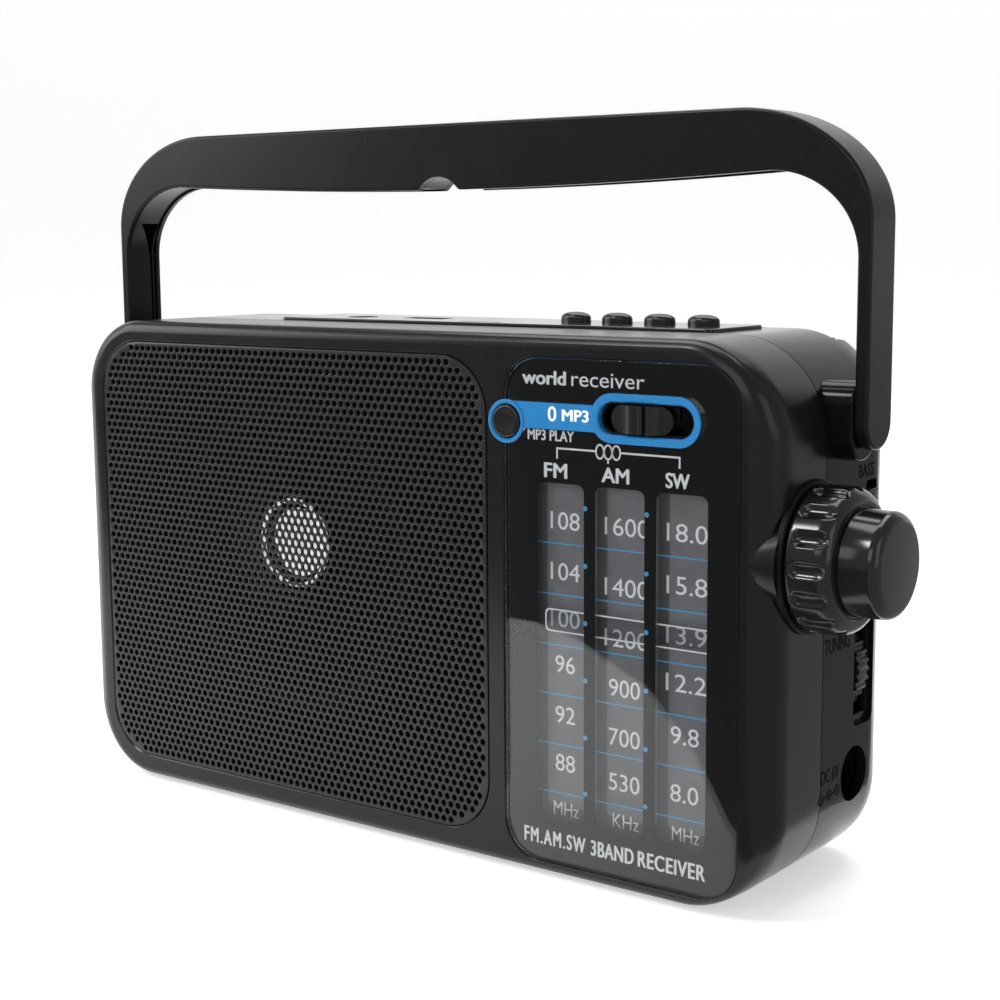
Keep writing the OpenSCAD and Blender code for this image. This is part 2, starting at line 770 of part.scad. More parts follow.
module volume_wheel() color([0.1, 0.1, 0.1]) {
    upright(wheel_y, wheel_y + wheel_t) translate([wheel_x, wheel_z]) polygon([
        for (k = [0:wheel_teeth - 1], s = [0, 1, 2, 3])
            let (a = 360 / wheel_teeth * (k + [0, 0.3, 0.5, 0.8][s]), r = wheel_r - [0, 0, 0.55, 0.55][s])
            [r * cos(a), r * sin(a)]]);
    rod_y(wheel_x, wheel_z, 2.5, 4, wheel_y + 1);
}

module bass_slider() color([0.1, 0.1, 0.1]) {
    block([half_w - wall - 0.8, bass_y - 2.2, bass_z + 0.2], [half_w + 0.6, bass_y + 2.2, bass_z + 4]);
    block([half_w - 7.8, bass_y - 1.4, bass_z + 0.6], [half_w - wall, bass_y + 1.4, bass_z + 3.6]);
}

module band_slider() color([0.14, 0.14, 0.15]) {
    upright(front_y + 0.6, front_y + dial_recess + 1.4) translate([band_knob_x, slot_z])
        rounded(band_knob_w, slot_h - 1.4, (slot_h - 1.4) / 2 - eps);
    block([band_knob_x + 0.4, front_y - 1.6, slot_z - 2.4], [band_knob_x + 3.2, front_y + 1, slot_z + 2.4]);
    block([band_knob_x - 1.6, front_y + 2, slot_z - 1.6], [band_knob_x + 1.6, -16.4, slot_z + 1.6]);
}

module play_button() color([0.14, 0.14, 0.15]) {
    rod_y(play_x, play_z, play_r, front_y - 0.5, front_y + 3.4);
    rod_y(play_x, play_z, 2, front_y + 3, -25.2);
}

module top_button(i) color([0.1, 0.1, 0.1]) translate([button_x + i * button_step, button_y, 0]) {
    translate([0, 0, top_z - 3.6]) linear_extrude(3.6 + panel_rise + button_h - 0.8)
        scale_oval(button_l / 2, button_w / 2);
    translate([0, 0, panel_top + button_h - 0.8]) linear_extrude(0.4)
        scale_oval(button_l / 2 - 0.5, button_w / 2 - 0.5);
    translate([0, 0, panel_top + button_h - 0.4]) linear_extrude(0.4)
        scale_oval(button_l / 2 - 1.5, button_w / 2 - 1.3);
}

module top_button_1() top_button(0);
module top_button_2() top_button(1);
module top_button_3() top_button(2);
module top_button_4() top_button(3);

// ---------- handle ----------

// quarter of an oval about (cx, cz), from the side up to the top
function quarter(cx, cz, a, b, n = 12) =
    [for (k = [0:n]) [cx + a * cos(90 * k / n), cz + b * sin(90 * k / n)]];

// outline of one handle half, between an outer and an inner line drawn in from both faces
function handle_half_outline(out, in, foot) = let (
    outer = quarter(handle_half - outer_a, handle_top - outer_b, outer_a - out, outer_b - out),
    inner = quarter(arm_in - inner_a, handle_top - grip_h - inner_b, inner_a + in, inner_b + in),
    belly = [for (k = [1:6]) let (t = k / 6)
        [(arm_in - inner_a) * (1 - t), handle_top - grip_h + in - grip_sag * (1 - pow(1 - t, 2))]])
    concat([[handle_half - out, foot]], outer, [[0, handle_top - out]],
        [for (k = [len(belly) - 1:-1:0]) belly[k]],
        [for (k = [len(inner) - 1:-1:0]) inner[k]],
        [[arm_in + in, foot]]);

module handle_profile(out, in, foot) {
    for (s = [0, 1]) mirror([s, 0]) polygon(handle_half_outline(out, in, foot));
}

// keeps the handle inside its rounded lower ends
module handle_ends(r) {
    block([-200, -r, hinge_z], [200, r, 300]);
    rod_x(0, hinge_z, r, -200, 200);
}

module handle() color([0.07, 0.07, 0.075]) {
    difference() {
        intersection() {
            upright(-handle_d / 2, handle_d / 2) handle_profile(0, 0, hinge_z - 10);
            handle_ends(handle_d / 2);
        }
        upright(-cover_w / 2, cover_w / 2) difference() {
            handle_profile(1.4, -5, hinge_z + 9);
            translate([-200, 0]) square([400, hinge_z + 9]);
        }
        rod_y(0, handle_top - notch_drop, 7.6, -20, 20);
    }
    for (s = [0, 1]) mirror([s, 0, 0]) rod_x(0, hinge_z, stub_r, stub_in, arm_in + 1);
}

module handle_cover() color([0.08, 0.08, 0.085]) difference() {
    upright(-cover_w / 2 + 0.1, cover_w / 2 - 0.1) difference() {
        handle_profile(1.6, 0.5, hinge_z + 9.2);
        handle_profile(1.4, 0.5 + cover_t, hinge_z);
        translate([-200, 0]) square([400, hinge_z + 9.2]);
    }
    rod_y(0, handle_top - notch_drop, 7.6, -20, 20);
}

module handle_screws() color([0.7, 0.7, 0.72]) for (s = [0, 1]) mirror([s, 0, 0]) {
    rod_x(0, hinge_z, 4.6, stub_in - 2, stub_in);
}

// ---------- antenna ----------

module antenna_base() color([0.8, 0.8, 0.82]) difference() {
    translate([antenna_x, antenna_y, 0]) union() {
        translate([0, 0, notch_z0 - wall - 0.8]) cylinder(r = 2, h = wall + 1);
        translate([0, 0, notch_z0 + 0.1]) cylinder(r = 4.2, h = antenna_z - notch_z0 + 3);
    }
    block([antenna_x - 9, antenna_y - 1.6, antenna_z - 3.2], [antenna_x + 9, antenna_y + 1.6, antenna_z + 9]);
    rod_y(antenna_x, antenna_z, 1.06, antenna_y - 9, antenna_y + 9);
}

// one telescopic tube that starts at x and runs towards the left
module antenna_tube(i, x0, l) {
    difference() {
        rod_x(antenna_y, antenna_z, tube_r[i], x0 - l, x0);
        if (tube_bore[i] > 0) rod_x(antenna_y, antenna_z, tube_bore[i], x0 - l - 1, x0 - 2);
    }
}

module antenna_tube_1() color([0.8, 0.8, 0.82]) {
    antenna_tube(0, antenna_x - 6, antenna_l);
    difference() {
        block([antenna_x - 7, antenna_y - 1.5, antenna_z - 2.4],
              [antenna_x + 2, antenna_y + 1.5, antenna_z + 2.4]);
        block([antenna_x - 20, antenna_y - 5, antenna_z - 9],
              [antenna_x - 6.5, antenna_y + 5, antenna_z + 9]);
    }
    rod_y(antenna_x, antenna_z, 1, antenna_y - 3.6, antenna_y + 3.6);
}

module antenna_tube_2() color([0.8, 0.8, 0.82]) antenna_tube(1, antenna_x - 6 - tube_step, antenna_l);
module antenna_tube_3() color([0.8, 0.8, 0.82]) antenna_tube(2, antenna_x - 6 - 2 * tube_step, antenna_l);

module antenna_tube_4() color([0.8, 0.8, 0.82]) {
    antenna_tube(3, antenna_x - 6 - 3 * tube_step, antenna_l);
    rod_x(antenna_y, antenna_z, 2.6,
          antenna_x - 6 - 3 * tube_step - antenna_l - 4, antenna_x - 6 - 3 * tube_step - antenna_l);
}

front_shell();
back_shell();
speaker_grille();
dial_lens();
dial_mask();
dial_scale();
blue_trim();
top_panel();
handle_blocks();
rubber_feet();
case_screws();
speaker_basket();
speaker_surround();
speaker_cone();
dust_cap();
speaker_magnet();
speaker_screws();
main_board();
media_board();
tuning_capacitor();
band_switch();
if_cans();
board_capacitors();
ferrite_rod();
ferrite_coil();
dc_jack();
headphone_jack();
usb_port();
card_reader();
bass_switch();
volume_pot();
button_switches();
battery_cells();
battery_springs();
battery_plates();
pointer_rails();
spindle_bracket();
handle();
handle_cover();
handle_screws();
tuning_ring();
tuning_cap();
tuning_spindle();
capacitor_drum();
dial_pointer();
volume_wheel();
bass_slider();
band_slider();
play_button();
top_button_1();
top_button_2();
top_button_3();
top_button_4();
battery_door();
antenna_base();
antenna_tube_1();
antenna_tube_2();
antenna_tube_3();
antenna_tube_4();
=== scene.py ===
"""Visual model of a three-band shortwave receiver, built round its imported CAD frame.

Lengths are in millimetres in the object's own frame (X right, Y back, Z up) and turn into
metres where a mesh is made.
"""
from math import cos, hypot, pi, radians, sin, sqrt

import bmesh
import bpy
from mathutils import Matrix, Vector
from mathutils.geometry import delaunay_2d_cdt


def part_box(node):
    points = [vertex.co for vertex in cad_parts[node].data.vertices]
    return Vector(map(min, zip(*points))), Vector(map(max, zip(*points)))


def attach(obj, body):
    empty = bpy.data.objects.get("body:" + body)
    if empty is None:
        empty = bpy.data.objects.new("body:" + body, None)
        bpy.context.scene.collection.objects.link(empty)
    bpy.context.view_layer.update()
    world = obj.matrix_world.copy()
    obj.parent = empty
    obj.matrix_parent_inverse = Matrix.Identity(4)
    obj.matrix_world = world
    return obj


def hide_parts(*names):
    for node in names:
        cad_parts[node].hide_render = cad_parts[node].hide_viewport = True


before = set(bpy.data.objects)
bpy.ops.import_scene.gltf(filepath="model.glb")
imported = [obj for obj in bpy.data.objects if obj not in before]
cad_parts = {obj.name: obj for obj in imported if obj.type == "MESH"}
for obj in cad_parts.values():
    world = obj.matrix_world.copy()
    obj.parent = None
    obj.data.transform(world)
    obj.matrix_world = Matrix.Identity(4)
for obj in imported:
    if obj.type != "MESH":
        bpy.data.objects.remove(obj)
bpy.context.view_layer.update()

MM = 0.001


def node_mm(node):
    """Lowest and highest corner of a CAD node, in millimetres."""
    low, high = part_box(node)
    return low / MM, high / MM


def linked(name, data):
    """New object in the scene."""
    obj = bpy.data.objects.new(name, data)
    bpy.context.scene.collection.objects.link(obj)
    return obj


# ---------- camera ----------

CAMERA_AT = Vector((278.3, -352.5, 144.4))
CAMERA_YAW, CAMERA_PITCH, CAMERA_ROLL = (radians(a) for a in (36.9, 8.28, 0.39))
CAMERA_LENS = 65.52


def make_camera():
    forward = Vector((
        -sin(CAMERA_YAW) * cos(CAMERA_PITCH),
        cos(CAMERA_YAW) * cos(CAMERA_PITCH),
        -sin(CAMERA_PITCH)))
    right = Vector((cos(CAMERA_YAW), sin(CAMERA_YAW), 0))
    down = forward.cross(right)
    across = cos(CAMERA_ROLL) * right + sin(CAMERA_ROLL) * down
    below = -sin(CAMERA_ROLL) * right + cos(CAMERA_ROLL) * down
    data = bpy.data.cameras.new("camera")
    data.lens, data.sensor_width = CAMERA_LENS, 36
    data.clip_start, data.clip_end = 0.01, 30
    camera = linked("camera", data)
    camera.matrix_world = Matrix((
        (across.x, -below.x, -forward.x, CAMERA_AT.x * MM),
        (across.y, -below.y, -forward.y, CAMERA_AT.y * MM),
        (across.z, -below.z, -forward.z, CAMERA_AT.z * MM),
        (0, 0, 0, 1)))
    bpy.context.scene.camera = camera


make_camera()

# ---------- materials ----------


def material(name, color, rough, metallic=0.0, vary=0.12, rough_vary=0.06, scale=220, grain=0.0,
             grain_scale=2600, scratches=0.0, specular=0.5, glow=0.0):
    """Principled surface with colour and roughness that drift a little, a fine grain and scratches."""
    mat = bpy.data.materials.new(name)
    mat.use_nodes = True
    nodes, links = mat.node_tree.nodes, mat.node_tree.links
    shader = nodes["Principled BSDF"]
    shader.inputs["Metallic"].default_value = metallic
    shader.inputs["Specular IOR Level"].default_value = specular
    shader.inputs["Emission Color"].default_value = (1, 1, 1, 1)
    shader.inputs["Emission Strength"].default_value = glow
    where = nodes.new("ShaderNodeTexCoord").outputs["Object"]

    def noise(size, detail, vector=where):
        node = nodes.new("ShaderNodeTexNoise")
        node.inputs["Scale"].default_value, node.inputs["Detail"].default_value = size, detail
        links.new(vector, node.inputs["Vector"])
        return node.outputs["Fac"]

    ramp = nodes.new("ShaderNodeValToRGB")
    ramp.color_ramp.elements[0].position, ramp.color_ramp.elements[1].position = 0.3, 0.72
    ramp.color_ramp.elements[0].color = (*(c * (1 - vary) for c in color), 1)
    ramp.color_ramp.elements[1].color = (*(min(c * (1 + vary), 1) for c in color), 1)
    links.new(noise(scale, 6), ramp.inputs["Fac"])
    links.new(ramp.outputs["Color"], shader.inputs["Base Color"])

    spread = nodes.new("ShaderNodeMapRange")
    spread.inputs["To Min"].default_value = max(rough - rough_vary, 0.02)
    spread.inputs["To Max"].default_value = min(rough + rough_vary, 1)
    links.new(noise(scale * 0.35, 8), spread.inputs["Value"])
    rough_out = spread.outputs["Result"]
    if scratches:
        stretch = nodes.new("ShaderNodeMapping")
        stretch.inputs["Scale"].default_value = (1.0, 0.06, 0.35)
        stretch.inputs["Rotation"].default_value = (0.5, 0.3, 0.9)
        links.new(where, stretch.inputs["Vector"])
        pick = nodes.new("ShaderNodeMapRange")
        pick.inputs["From Min"].default_value, pick.inputs["From Max"].default_value = 0.66, 0.74
        pick.inputs["To Max"].default_value = scratches
        links.new(noise(900, 2, stretch.outputs["Vector"]), pick.inputs["Value"])
        both = nodes.new("ShaderNodeMath")
        links.new(rough_out, both.inputs[0])
        links.new(pick.outputs["Result"], both.inputs[1])
        rough_out = both.outputs[0]
    links.new(rough_out, shader.inputs["Roughness"])

    if grain:
        bump = nodes.new("ShaderNodeBump")
        bump.inputs["Strength"].default_value = grain
        bump.inputs["Distance"].default_value = 0.00005
        links.new(noise(grain_scale, 3), bump.inputs["Height"])
        links.new(bump.outputs["Normal"], shader.inputs["Normal"])
    return mat


def clear_material(name, tint, rough):
    """Thin clear plastic: what is behind shows straight through, and its face reflects."""
    mat = bpy.data.materials.new(name)
    mat.use_nodes = True
    nodes, links = mat.node_tree.nodes, mat.node_tree.links
    nodes.clear()
    out = nodes.new("ShaderNodeOutputMaterial")
    through = nodes.new("ShaderNodeBsdfTransparent")
    through.inputs["Color"].default_value = (*tint, 1)
    shine = nodes.new("ShaderNodeBsdfGlossy")
    shine.inputs["Color"].default_value = (1, 1, 1, 1)
    wide = nodes.new("ShaderNodeTexNoise")
    wide.inputs["Scale"].default_value = 60
    spread = nodes.new("ShaderNodeMapRange")
    spread.inputs["To Min"].default_value, spread.inputs["To Max"].default_value = rough * 0.5, rough * 1.5
    links.new(wide.outputs["Fac"], spread.inputs["Value"])
    links.new(spread.outputs["Result"], shine.inputs["Roughness"])
    edge = nodes.new("ShaderNodeFresnel")
    edge.inputs["IOR"].default_value = 1.34
    mix = nodes.new("ShaderNodeMixShader")
    links.new(edge.outputs["Fac"], mix.inputs["Fac"])
    links.new(through.outputs["BSDF"], mix.inputs[1])
    links.new(shine.outputs["BSDF"], mix.inputs[2])
    links.new(mix.outputs["Shader"], out.inputs["Surface"])
    return mat


def grey(dark, light=None):
    """Neutral colour whose blue may be a little lighter."""
    return dark, dark, light or dark


MOULDED = {"rough_vary": 0.04, "grain": 0.03, "scratches": 0.08}
M = {
    "front": material("front_plastic", grey(0.0055, 0.0058), 0.25, grain=0.1, scratches=0.05, specular=0.32),
    "back": material("back_plastic", grey(0.005, 0.0053), 0.13, specular=0.14, **MOULDED),
    "top": material("top_plastic", grey(0.006, 0.0063), 0.12, specular=0.5, **MOULDED),
    "handle": material("handle_plastic", grey(0.0055, 0.0058), 0.26, grain=0.1, scratches=0.06, specular=0.2),
    "knob": material("knob_plastic", grey(0.006, 0.0063), 0.15, grain=0.06, rough_vary=0.04, specular=0.5),
    "control": material("control_plastic", grey(0.008, 0.0084), 0.24, grain=0.1, specular=0.4),
    "grille": material("grille_metal", grey(0.009, 0.0092), 0.32, grain=0.12, grain_scale=5000, specular=0.42),
    "mask": material("dial_print_black", grey(0.003, 0.0032), 0.45, grain=0.05, specular=0.1),
    "scale": material("scale_grey", (0.1, 0.102, 0.106), 0.5, grain=0.05, specular=0.1),
    "scale_light": material("scale_light_grey", (0.19, 0.193, 0.2), 0.5, grain=0.05, specular=0.1),
    "white": material("print_white", (0.88, 0.89, 0.9), 0.5, vary=0.04),
    "blue_print": material("print_blue", (0.07, 0.4, 0.72), 0.5, vary=0.05),
    "blue": material("trim_blue", (0.01, 0.165, 0.41), 0.26, vary=0.06, grain=0.05),
    "side_print": material("print_side", grey(0.001), 0.6, vary=0.1, specular=0.05),
    "dark": material("dark_inside", grey(0.003), 0.5, specular=0.15),
    "rubber": material("rubber", grey(0.02), 0.75, grain=0.3, specular=0.3),
    "paper": material("cone_paper", grey(0.004), 0.85, grain=0.6, grain_scale=1500, specular=0.1),
    # This silver also has a painted glow: its emission makes the dust cap, its ring and the if_cans brighter than
    # the lamps make them.
    "silver": material("cap_silver_painted_glow", (0.88, 0.89, 0.9), 0.42, metallic=0.35, vary=0.1, scale=500, glow=0.42),
    "steel": material("steel", (0.55, 0.56, 0.57), 0.3, metallic=1.0, grain=0.1),
    "chrome": material("chrome", (0.78, 0.79, 0.8), 0.1, metallic=1.0, vary=0.04, rough_vary=0.03),
    "magnet": material("ferrite", grey(0.05, 0.052), 0.6, grain=0.3),
    "board": material("board_green", (0.02, 0.12, 0.05), 0.4, grain=0.2),
    "copper": material("copper_wire", (0.6, 0.24, 0.1), 0.35, metallic=0.8, scale=2500, vary=0.3),
    "nylon": material("nylon", (0.62, 0.61, 0.56), 0.5, grain=0.1),
    "cell": material("cell_wrap", (0.02, 0.05, 0.16), 0.3, grain=0.05),
    "lens": clear_material("lens_clear", (0.97, 0.975, 0.98), 0.02),
    "pointer": clear_material("pointer_clear", (0.93, 0.935, 0.94), 0.05),
    "floor": material("floor_white", grey(0.85), 0.8, vary=0.004, scale=3, specular=0.1, glow=0.52),
    "card": material("card_black", grey(0.001), 0.9, specular=0, glow=0.14),
    "side_card": material("card_grey", grey(0.001), 0.9, specular=0, glow=0.42),
}

# ---------- mesh helpers ----------


def mesh_object(name, verts, faces):
    """Object from vertices in millimetres; faces are turned outwards."""
    mesh = bpy.data.meshes.new(name)
    mesh.from_pydata([Vector(v) * MM for v in verts], [], faces)
    solid = bmesh.new()
    solid.from_mesh(mesh)
    bmesh.ops.remove_doubles(solid, verts=solid.verts, dist=1e-7)
    bmesh.ops.recalc_face_normals(solid, faces=solid.faces)
    solid.to_mesh(mesh)
    solid.free()
    return linked(name, mesh)


def evaluated(obj):
    """Mesh of an object with its modifiers, or of a text."""
    graph = bpy.context.evaluated_depsgraph_get()
    return bpy.data.meshes.new_from_object(obj.evaluated_get(graph))


def apply_modifiers(obj):
    made = evaluated(obj)
    obj.modifiers.clear()
    obj.data = made


def drop(obj):
    bpy.data.objects.remove(obj)


def boolean(obj, tool, operation):
    step = obj.modifiers.new("csg", "BOOLEAN")
    step.operation, step.solver, step.object = operation, "MANIFOLD", tool
    apply_modifiers(obj)
    drop(tool)
    return obj


def cut(obj, *tools):
    for tool in tools:
        boolean(obj, tool, "DIFFERENCE")
    return obj


def add(obj, *tools):
    for tool in tools:
        boolean(obj, tool, "UNION")
    return obj


def keep(obj, tool):
    return boolean(obj, tool, "INTERSECT")


def soften(obj, width, segments=3, angle=38):
    """Rounds every edge sharper than the angle."""
    step = obj.modifiers.new("edges", "BEVEL")
    step.width, step.segments, step.limit_method = width * MM, segments, "ANGLE"
    step.angle_limit = radians(angle)
    step.use_clamp_overlap = True
    apply_modifiers(obj)
    return obj


def shade(obj, angle=32, weighted=True):
    obj.data.polygons.foreach_set("use_smooth", [True] * len(obj.data.polygons))
    obj.data.set_sharp_from_angle(angle=radians(angle))
    if weighted:
        step = obj.modifiers.new("normals", "WEIGHTED_NORMAL")
        step.keep_sharp, step.weight = True, 50
        apply_modifiers(obj)
    obj.data.update()
    return obj


def finish_with(obj, mat):
    obj.data.materials.clear()
    obj.data.materials.append(M[mat])


def place(obj, mat, body, slot, *replaced):
    """Gives a finished piece its material and body, and hides the CAD nodes it stands for; its slot is not used."""
    finish_with(obj, mat)
    obj.data.polygons.foreach_set("material_index", [0] * len(obj.data.polygons))
    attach(obj, body)
    if replaced:
        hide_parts(*replaced)
    return obj


def joined(name, parts):
    """One object from several, with a new name."""
    solid = bmesh.new()
    for part in parts:
        solid.from_mesh(part.data)
    mesh = bpy.data.meshes.new(name)
    solid.to_mesh(mesh)
    solid.free()
    for part in parts:
        drop(part)
    return linked(name, mesh)


# ---------- outlines: lists of points in a plane ----------


def arc(cx, cy, rx, ry, start, end, steps):
    return [(cx + rx * cos(radians(start + (end - start) * i / steps)),
             cy + ry * sin(radians(start + (end - start) * i / steps)))
            for i in range(steps + 1)]


def circle(cx, cy, r, steps=64):
    return arc(cx, cy, r, r, 0, 360, steps)[:-1]


def rounded(cx, cy, w, h, r, steps=12):
    out = []
    for q, (sx, sy) in enumerate(((1, 1), (-1, 1), (-1, -1), (1, -1))):
        out += arc(cx + sx * (w / 2 - r), cy + sy * (h / 2 - r), r, r, 90 * q, 90 * q + 90, steps)
    return out


def stadium(cx, cy, w, h, steps=20):
    return rounded(cx, cy, w, h, h / 2 - 0.001, steps)


def rect(x0, x1, y0, y1):
    return [(x0, y0), (x1, y0), (x1, y1), (x0, y1)]


# ---------- solids from outlines ----------

PLANES = {"x": lambda a, b, t: (t, a, b), "y": lambda a, b, t: (a, t, b), "z": lambda a, b, t: (a, b, t)}


def loft(name, rings, ends=True):
    """Closed solid through rings of 3-D points; without ends, the last ring joins the first."""
    n, m = len(rings[0]), len(rings)
    faces = [(j * n + i, j * n + (i + 1) % n, (j + 1) % m * n + (i + 1) % n, (j + 1) % m * n + i)
             for j in range(m - 1 if ends else m) for i in range(n)]
    if ends:
        faces += [tuple(range(n)), tuple(range((m - 1) * n, m * n))]
    return mesh_object(name, [p for ring in rings for p in ring], faces)


def prism(outline, low, high, axis="y", name="tool"):
    turn = PLANES[axis]
    return loft(name, [[turn(a, b, t) for a, b in outline] for t in (low, high)])


def flared(outline_of, low, high, flare, axis="y", name="tool"):
    """Cutter whose mouth at the low end widens by flare; outline_of(grow) gives its outline."""
    turn = PLANES[axis]
    steps = [(low - 5, flare), (low, flare)]
    steps += [(low + flare * sin(radians(a)), flare * (1 - sin(radians(a))))
              for a in (30, 60, 90)]
    steps.append((high, 0))
    return loft(name, [[turn(a, b, t) for a, b in outline_of(grow)] for t, grow in steps])


def box_mm(low, high, name="tool"):
    return prism(rect(low[0], high[0], low[1], high[1]), low[2], high[2], "z", name)


def lathe(name, profile, at, axis, steps=96):
    """Solid of revolution: profile is (radius, along) pairs that start and end on the axis."""
    turn = PLANES[axis]
    verts, faces, rows = [], [], []
    for r, t in profile:
        if r < 1e-6:
            rows.append([len(verts)])
            verts.append(turn(0, 0, t))
        else:
            rows.append(list(range(len(verts), len(verts) + steps)))
            verts += [turn(r * cos(2 * pi * k / steps), r * sin(2 * pi * k / steps), t)
                      for k in range(steps)]
    for a, b in zip(rows, rows[1:]):
        for k in range(steps):
            p, q = k, (k + 1) % steps
            face = list(dict.fromkeys([a[p % len(a)], a[q % len(a)], b[q % len(b)], b[p % len(b)]]))
            if len(face) > 2:
                faces.append(face)
    return mesh_object(name, [Vector(v) + Vector(at) for v in verts], faces)


# ---------- body measures, from the CAD nodes ----------

back_low, back_high = node_mm("back_shell")
HALF_W = back_high.x
FRONT_Y = node_mm("dial_lens")[0].y
BACK_Y = back_high.y
BASE_Z = back_low.z
TOP_Z = BASE_Z + 122
MID_Z = (BASE_Z + TOP_Z) / 2
BODY_H = TOP_Z - BASE_Z
SEAM_Y = -7
WALL = 2.2
CORNER_R, FRONT_ROUND, FRONT_EDGE, BACK_ROUND, BACK_EDGE = 22, 8, 3, 14, 5
ROUND_STEPS, CORNER_STEPS = 12, 18


def round_inset(r, t):
    return 0 if t >= r else r if t <= 0 else r * (1 - sqrt(1 - (1 - t / r) ** 2))


def body_ring(y, margin):
    ahead, behind = y - FRONT_Y - margin, BACK_Y - margin - y
    dx = max(round_inset(FRONT_ROUND, ahead), round_inset(BACK_ROUND, behind))
    dz = max(round_inset(FRONT_EDGE, ahead), round_inset(BACK_EDGE, behind))
    r = max(CORNER_R - margin - max(dx, dz), 6)
    return [(x, y, z) for x, z in rounded(
        0, MID_Z, 2 * (HALF_W - margin - dx), BODY_H - 2 * (margin + dz), r, CORNER_STEPS)]


def body_solid(margin):
    turns = [1 - cos(pi / 2 * i / ROUND_STEPS) for i in range(ROUND_STEPS + 1)]
    depths = {FRONT_Y + margin + FRONT_ROUND * t for t in turns}
    depths |= {FRONT_Y + margin + FRONT_EDGE * t for t in turns[::3]}
    depths |= {BACK_Y - margin - BACK_ROUND * t for t in turns}
    depths |= {BACK_Y - margin - BACK_EDGE * t for t in turns[::3]}
    depths = sorted(round(d, 6) for d in depths)
    depths = [d for i, d in enumerate(depths) if not i or d - depths[i - 1] > 0.02]
    return loft("body", [body_ring(y, margin) for y in depths])


grille_low, grille_high = node_mm("speaker_grille")
GRILLE = ((grille_low.x + grille_high.x) / 2, (grille_low.z + grille_high.z) / 2,
          grille_high.x - grille_low.x, grille_high.z - grille_low.z)
GRILLE_R, GRILLE_RECESS = 13, 1
lens_low, lens_high = node_mm("dial_lens")
DIAL = ((lens_low.x + lens_high.x) / 2, (lens_low.z + lens_high.z) / 2,
        lens_high.x - lens_low.x, lens_high.z - lens_low.z)
DIAL_R, DIAL_RECESS = 9, 1.4
SLOT_X, SLOT_Z, SLOT_W, SLOT_H = 74.35, 105.7, 23.8, 7.1
TRIM_W, TRIM_H = 27.2, 10.7
PLAY_X, PLAY_Z, PLAY_R, PLAY_RING_R = 38, 103.6, 3.7, 4.9
BAND_Z0, BAND_H = 102.4, 5.8
WINDOWS = [(DIAL[0] + i * 15.55, DIAL[1] - 8.65, 12.7, 76.3) for i in (-1, 0, 1)]
SPEAKER = (GRILLE[0], 66)
SCREWS = [(-94, 11), (94, 11), (-88, 104), (91.5, 106), (24.5, 66)]
SCREW_R = 1.4
KNOB_Y, KNOB_Z, SPINDLE_R = -12.4, 77.1, 3
RING_X0, RING_L, RING_R = 106.2, 9.9, 15.6
CAP_R, CAP_L = 11.3, 9
INLET_Y, INLET_Z, INLET_R = 9, 25, 6.3
WHEEL_X, WHEEL_Y, WHEEL_T, WHEEL_Z = 93.3, 10.5, 5, 47.8
BASS_Y, BASS_Z, BASS_W, BASS_H = 15, 84.6, 5.4, 12
BUTTON_X, BUTTON_STEP, BUTTON_Y, BUTTON_L, BUTTON_W = 29.4, 11.8, 10, 8, 5.2
PANEL = (-54, 75.5, -5, 19.4)
PANEL_T, PANEL_TOP = 1.8, TOP_Z + 0.7
PHONES_X, PHONES_Y, PHONES_MOUTH_R = -34, 5, 4
USB_X, USB_Y, USB_W, USB_D = -14, 7, 13.4, 5.8
CARD_X, CARD_Y, CARD_W, CARD_D = 9.4, -1.6, 12.4, 1.5
NOTCH_Y, NOTCH_Z, NOTCH_X = 20.6, 113.2, 92.5
ANTENNA_X, ANTENNA_Y = 85.5, 25.4
BAY = (-87, 19, 1.6, 7, 60.5)
DOOR = (-86, 18, 8, 60)
HINGE_Z = 105
BLOCK_X0, BLOCK_W, BLOCK_H = 100.5, 11, 17
DOOR_PIN_Y, DOOR_PIN_Z = 29, 9.3
GAP = 0.15


def grille_outline(grow):
    return rounded(GRILLE[0], GRILLE[1], GRILLE[2] + 2 * grow, GRILLE[3] + 2 * grow, GRILLE_R + grow)


def dial_outline(grow):
    return rounded(DIAL[0], DIAL[1], DIAL[2] + 2 * grow, DIAL[3] + 2 * grow, DIAL_R + grow)


def trim_tools(grow, y0, y1, as_flare=0):
    """Ring, band and stadium of the blue inlay as three overlapping prisms."""
    make = (lambda shape: flared(shape, y0, y1, as_flare)) if as_flare else (
        lambda shape: prism(shape(0), y0, y1))
    return [
        make(lambda g: stadium(SLOT_X, SLOT_Z, TRIM_W + 2 * (grow + g), TRIM_H + 2 * (grow + g))),
        make(lambda g: circle(PLAY_X, PLAY_Z, PLAY_RING_R + grow + g)),
        make(lambda g: rect(PLAY_X, SLOT_X - TRIM_W / 2 + 3, BAND_Z0 - grow - g, BAND_Z0 + BAND_H + grow + g))]


def side_tools():
    x0, x1 = HALF_W - 8, HALF_W + 5
    return [
        prism(circle(KNOB_Y, KNOB_Z, SPINDLE_R + 2, 48), x0, x1, "x"),
        prism(circle(INLET_Y, INLET_Z, INLET_R), x0, x1, "x"),
        box_mm((HALF_W - 10, WHEEL_Y - 0.6, WHEEL_Z - 10), (x1, WHEEL_Y + WHEEL_T + 0.6, WHEEL_Z + 10)),
        prism(rounded(WHEEL_Y + WHEEL_T / 2 + 0.1, WHEEL_Z, WHEEL_T + 5, 24.4, 2.2), HALF_W - 1.2, x1, "x"),
        prism(rounded(BASS_Y, BASS_Z, BASS_W, BASS_H, 0.8, 4), x0, x1, "x")]


def oval(cx, cy, a, b, steps=64):
    return arc(cx, cy, a, b, 0, 360, steps)[:-1]


